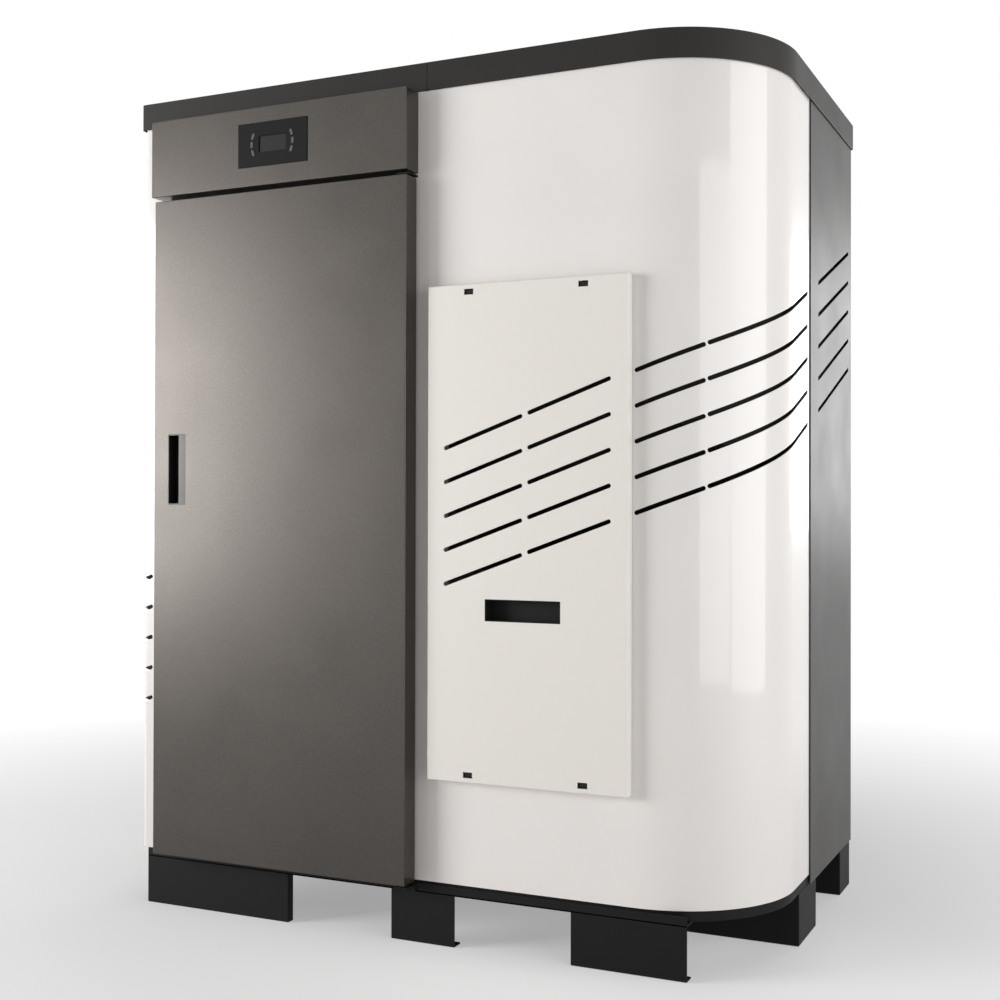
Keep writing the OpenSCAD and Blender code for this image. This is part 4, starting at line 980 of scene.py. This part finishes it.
def make_rear_panel():
    """The rear sheet with its holes for flue, fan, pipes, drain and mains inlet."""
    low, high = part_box("rear_panel")
    piece = block("rear_sheet", low, high)
    near, far = low.y - REACH, high.y + REACH
    housing_low, housing_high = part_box("exhaust_fan_housing")
    motor_low, motor_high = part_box("exhaust_motor")
    water_low, water_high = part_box("water_connections")
    drain_low, drain_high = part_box("drain_valve")
    entry_low, entry_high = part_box("power_entry")
    fan_z = (housing_low.z + housing_high.z) / 2
    motor_x = (motor_low.x + motor_high.x) / 2
    water_x = (water_low.x + water_high.x) / 2
    drain_x = (drain_low.x + drain_high.x) / 2
    holes = [(housing_high.x - FLUE_IN, fan_z, FLUE_HOLE), (motor_x, fan_z, MOTOR_HOLE),
             (water_x, water_high.z - PIPE_END, PIPE_HOLE),
             (water_x, water_low.z + PIPE_END, PIPE_HOLE),
             (drain_x, drain_low.z + DRAIN_END, DRAIN_HOLE)]
    cutters = [rod("hole_cutter", (x, near, z), (x, far, z), radius, 64) for x, z, radius in holes]
    cutters.append(block("inlet_cutter", (entry_low.x + 0.004, near, entry_low.z + 0.004),
                         (entry_high.x - 0.004, far, entry_high.z - 0.004)))
    cut(piece, *cutters)
    round_edges(piece, SHEET_EDGE)
    smooth(piece)
    return dress(piece, finishes["casing_dark"], replaces=["rear_panel"])


def make_rear_screws():
    """Pan-head screws with a cross recess, one modelled and copied to each place."""
    low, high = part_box("rear_panel_screws")
    face = casing_back + SHEET
    xs = (low.x + SCREW_HEAD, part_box("partition_wall")[0].x + 0.024, high.x - SCREW_HEAD)
    zs = (low.z + SCREW_HEAD, lid_high.z / 2, high.z - SCREW_HEAD)
    head = rod("screw", (0, face, 0), (0, high.y, 0), SCREW_HEAD, 24)
    select_edges(head, lambda a, b: abs(a.y - high.y) < 0.0001 and abs(b.y - high.y) < 0.0001)
    bpy.ops.mesh.bevel(offset=SCREW_ROUND, segments=3, affect="EDGES")
    leave_edit()
    bars = [block("cross_cutter", (-x, high.y - RECESS_DEPTH, -z), (x, high.y + REACH, z))
            for x, z in ((RECESS_LONG, RECESS_THIN), (RECESS_THIN, RECESS_LONG))]
    cut(head, *bars)
    shank = rod("shank", (0, low.y, 0), (0, face, 0), SCREW_SHANK, 12)
    screw = join("screw", [head, shank])
    copies = []
    for x in xs:
        for z in zs:
            copy = screw.copy()
            copy.data = screw.data.copy()
            bpy.context.scene.collection.objects.link(copy)
            copy.location = (x, 0, z)
            copies.append(settle(copy))
    bpy.data.objects.remove(screw)
    piece = join("rear_screws", copies)
    smooth(piece)
    return dress(piece, finishes["zinc_steel"], replaces=["rear_panel_screws"])


make_front_frame()
make_rear_panel()
make_rear_screws()


# Door fittings

def make_door_liner():
    """The liner on the door's back, pressed in by a step inside its border."""
    low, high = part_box("door_liner")
    piece = block("door_liner_sheet", low, high)
    select_faces(piece, facing(y=1))
    bpy.ops.mesh.inset(thickness=LINER_BORDER)
    bpy.ops.mesh.inset(thickness=LINER_STEP, depth=-LINER_DEPTH)
    leave_edit()
    round_edges(piece, FINE_EDGE)
    smooth(piece)
    return dress(piece, finishes["galvanised_sheet"], "front_door",
                 ["door_liner"])


def make_door_pull():
    """The recessed pull: a metal plate with the finger slot, and a black cup behind it."""
    low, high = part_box("door_pull")
    edge = 0.0022
    plate = block("pull_plate", (low.x + edge, low.y, low.z + edge),
                  (high.x - edge, low.y + SHEET, high.z - edge))
    mouth = block("mouth_cutter", (low.x + 0.0035, low.y - REACH, low.z + 0.004),
                  (low.x + 0.024, low.y + REACH, high.z - 0.004))
    round_edges(mouth, 0.0008, 3)
    cut(plate, mouth)
    round_edges(plate, FINE_EDGE)
    smooth(plate)
    dress(plate, finishes["pull_plate"], "front_door")
    cup = pan("pull_cup", (low.x, low.y + SHEET, low.z), high, facing(y=-1), sheet=0.0012,
              fold=0.002)
    smooth(cup)
    return dress(cup, finishes["plastic_black"], "front_door", ["door_pull"])


make_door_liner()
make_door_pull()


# Exhaust fan motor

def make_exhaust_motor():
    """The fan motor: a flange, a finned can and a rounded cap."""
    low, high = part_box("exhaust_motor")
    x, z = (low.x + high.x) / 2, (low.z + high.z) / 2
    seat = low.y + MOTOR_FLANGE
    flange = rod("motor_flange", (x, low.y, z), (x, seat, z), (high.x - low.x) / 2, 64)
    core = rod("motor_core", (x, seat, z), (x, high.y - 0.004, z), MOTOR_CORE, 64)
    cap = rod("motor_cap", (x, high.y - 0.016, z), (x, high.y, z), MOTOR_RADIUS, 64)
    round_edges(cap, 0.004, 4)
    collar = rod("motor_collar", (x, seat, z), (x, low.y + 0.010, z), MOTOR_RADIUS, 64)
    round_edges(collar, 0.0015, 3)
    fins = []
    for k in range(MOTOR_FINS):
        fin = block("fin", (FIN_ROOT, low.y + 0.008, -FIN_HALF),
                    (FIN_TIP, high.y - 0.012, FIN_HALF))
        fin.rotation_euler = (0, 2 * math.pi * k / MOTOR_FINS, 0)
        fin.location = (x, 0, z)
        fins.append(settle(fin))
    piece = join("fan_motor", [flange, core, cap, collar] + fins)
    smooth(piece)
    return dress(piece, finishes["plastic_black"], replaces=["exhaust_motor"])


make_exhaust_motor()


# Pellet hopper

def make_hopper():
    """The zinc-coated hopper, with painted shade in near black on the outside of its walls."""
    piece = ease("hopper_bin", "pellet_hopper", 0.0006)
    low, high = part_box("pellet_hopper")
    middle = (low + high) / 2
    # The outer wall faces take the painted shade, the near black that stands for the dark inside
    # the cabinet.
    piece.data.materials.append(finishes["hopper_painted_shade"])
    for face in piece.data.polygons:
        out = face.center - middle
        out.z = min(out.z, 0.0)
        face.material_index = 1 if face.normal.dot(out) > 0.01 else 0
    return piece


make_hopper()


# Eased pieces: name, drawn piece, radius of the edges in metres

for name, node, radius in (
        ("base_tray", "base_deck", 0.0008),
        ("bezel_moulding", "display_bezel", 0.0008),
        ("display_pane", "display_window", 0.0002),
        ("key_up", "button_up", 0.0005),
        ("key_down", "button_down", 0.0005),
        ("key_enter", "button_enter", 0.0005),
        ("key_back", "button_back", 0.0005),
        ("key_plus", "button_plus", 0.0005),
        ("key_minus", "button_minus", 0.0005),
        ("grip_moulding", "service_panel_grip", 0.0005),
        ("panel_catches", "service_panel_studs", 0.0008),
        ("hopper_seal", "lid_seal", 0.0009),
        ("hinge_brackets", "lid_hinge_brackets", 0.0005),
        ("hinge_pins", "lid_hinge_pins", 0.0006),
        ("door_pivots", "door_hinge_brackets", 0.0006),
        ("door_magnet", "door_catch", 0.0015),
        ("door_gasket", "door_seal", 0.0016),
        ("boiler_shell", "boiler_body", 0.0015),
        ("boiler_wrap", "boiler_insulation", 0.004),
        ("cleaning_plate", "cleaning_cover", 0.0012),
        ("fire_door_casting", "fire_door", 0.0025),
        ("fire_door_latch", "fire_door_handle", 0.0015),
        ("ash_pan", "ash_drawer", 0.0006),
        ("fan_scroll", "exhaust_fan_housing", 0.0006),
        ("water_sockets", "water_connections", 0.0010),
        ("drain_tap", "drain_valve", 0.0010),
        ("drain_tap_lever", "drain_lever", 0.0008),
        ("auger_tube", "auger_housing", 0.0006),
        ("auger_gearbox", "auger_motor", 0.0020),
        ("auger_bracket", "auger_stand", 0.0006),
        ("pellet_chute", "drop_chute", 0.0005),
        ("burner_case", "burner_body", 0.0010),
        ("burner_blower", "burner_fan_housing", 0.0012),
        ("mains_inlet", "power_entry", 0.0006),
        ("mains_rocker", "power_rocker", 0.0006)):
    ease(name, node, radius)


# Finishes of the pieces that keep their drawn shape

def finish_nodes():
    """Gives each drawn piece the finish that its slot names."""
    for part in frame["record"]["subparts"]:
        node = frame["nodes"][part["node"]]
        finish = finishes[part["material_slot"]]
        for place in node.material_slots:
            place.material = finish


finish_nodes()


# Floor, world and lights

def seen_directly(tree):
    """One where a surface is looked at directly, or seen in a reflection or through glass."""
    rays = tree.nodes.new("ShaderNodeLightPath").outputs
    looked_at = combine(tree, "MAXIMUM", rays["Is Camera Ray"], rays["Is Glossy Ray"])
    return combine(tree, "MAXIMUM", looked_at, rays["Is Transmission Ray"])


def make_floor():
    """A pale floor that keeps the object's shadow and fades to white far away."""
    bpy.ops.object.select_all(action="DESELECT")
    bpy.ops.mesh.primitive_circle_add(vertices=96, radius=40, fill_type="NGON",
                                      location=(0, 0, -0.0005))
    floor = named(bpy.context.object, "studio_floor")
    settle(floor)
    material, tree, shader = new_material("pale_floor")
    shader.inputs["Base Color"].default_value = (0.92, 0.92, 0.92, 1)
    shader.inputs["Roughness"].default_value = 0.9
    shader.inputs["Specular IOR Level"].default_value = 0.1
    place = object_place(tree)
    length = tree.nodes.new("ShaderNodeVectorMath")
    length.operation = "LENGTH"
    tree.links.new(place, length.inputs[0])
    far = spread(tree, length.outputs["Value"], 0.35, 1.0, 0.7, 2.4)
    amount = combine(tree, "MULTIPLY", seen_directly(tree), far)
    white = tree.nodes.new("ShaderNodeEmission")
    mix = tree.nodes.new("ShaderNodeMixShader")
    tree.links.new(amount, mix.inputs["Fac"])
    tree.links.new(shader.outputs[0], mix.inputs[1])
    tree.links.new(white.outputs[0], mix.inputs[2])
    tree.links.new(mix.outputs[0], tree.nodes["Material Output"].inputs["Surface"])
    floor.data.materials.append(material)


def make_world():
    """White where it is seen, directly or in a reflection, and a dimmer fill for the rest."""
    world = bpy.data.worlds.new("studio_world")
    bpy.context.scene.world = world
    world.use_nodes = True
    tree = world.node_tree
    back = tree.nodes["Background"]
    tree.links.new(spread(tree, seen_directly(tree), 0.15, 1.0, 0.0, 1.0),
                   back.inputs["Strength"])
    back.inputs["Color"].default_value = (1, 1, 1, 1)


def soft_box(name, place, target, width, height, brightness):
    """A soft box that looks at a point, with its brightness given as what a mirror would show."""
    bpy.ops.object.light_add(type="AREA", location=place)
    lamp = bpy.context.object
    lamp.name = name
    lamp.data.shape = "RECTANGLE"
    lamp.data.size = width
    lamp.data.size_y = height
    lamp.data.energy = brightness * math.pi * width * height
    lamp.rotation_mode = "QUATERNION"
    lamp.rotation_quaternion = (Vector(place) - Vector(target)).to_track_quat("Z", "Y")
    lamp.visible_camera = False
    return lamp


make_floor()
make_world()
soft_box("key_box", (-3.2, -2.61, 1.1), (-0.1, -0.37, 0.9), 1.9, 1.6, 14.0)
soft_box("strip_box", (2.95, -1.98, 1.0), (0.45, -0.2, 0.8), 1.6, 1.9, 2.4)
soft_box("side_box", (3.45, -0.2, 1.2), (0.45, -0.2, 0.8), 2.2, 2.4, 2.75)
soft_box("back_box", (1.55, 3.4, 1.2), (0.5, 0.2, 0.8), 1.2, 1.2, 4.0)
soft_box("top_box", (0.6, -1.6, 3.2), (0.2, 0, 0.6), 2.4, 2.4, 0.5)

bpy.context.scene.view_settings.view_transform = "Standard"
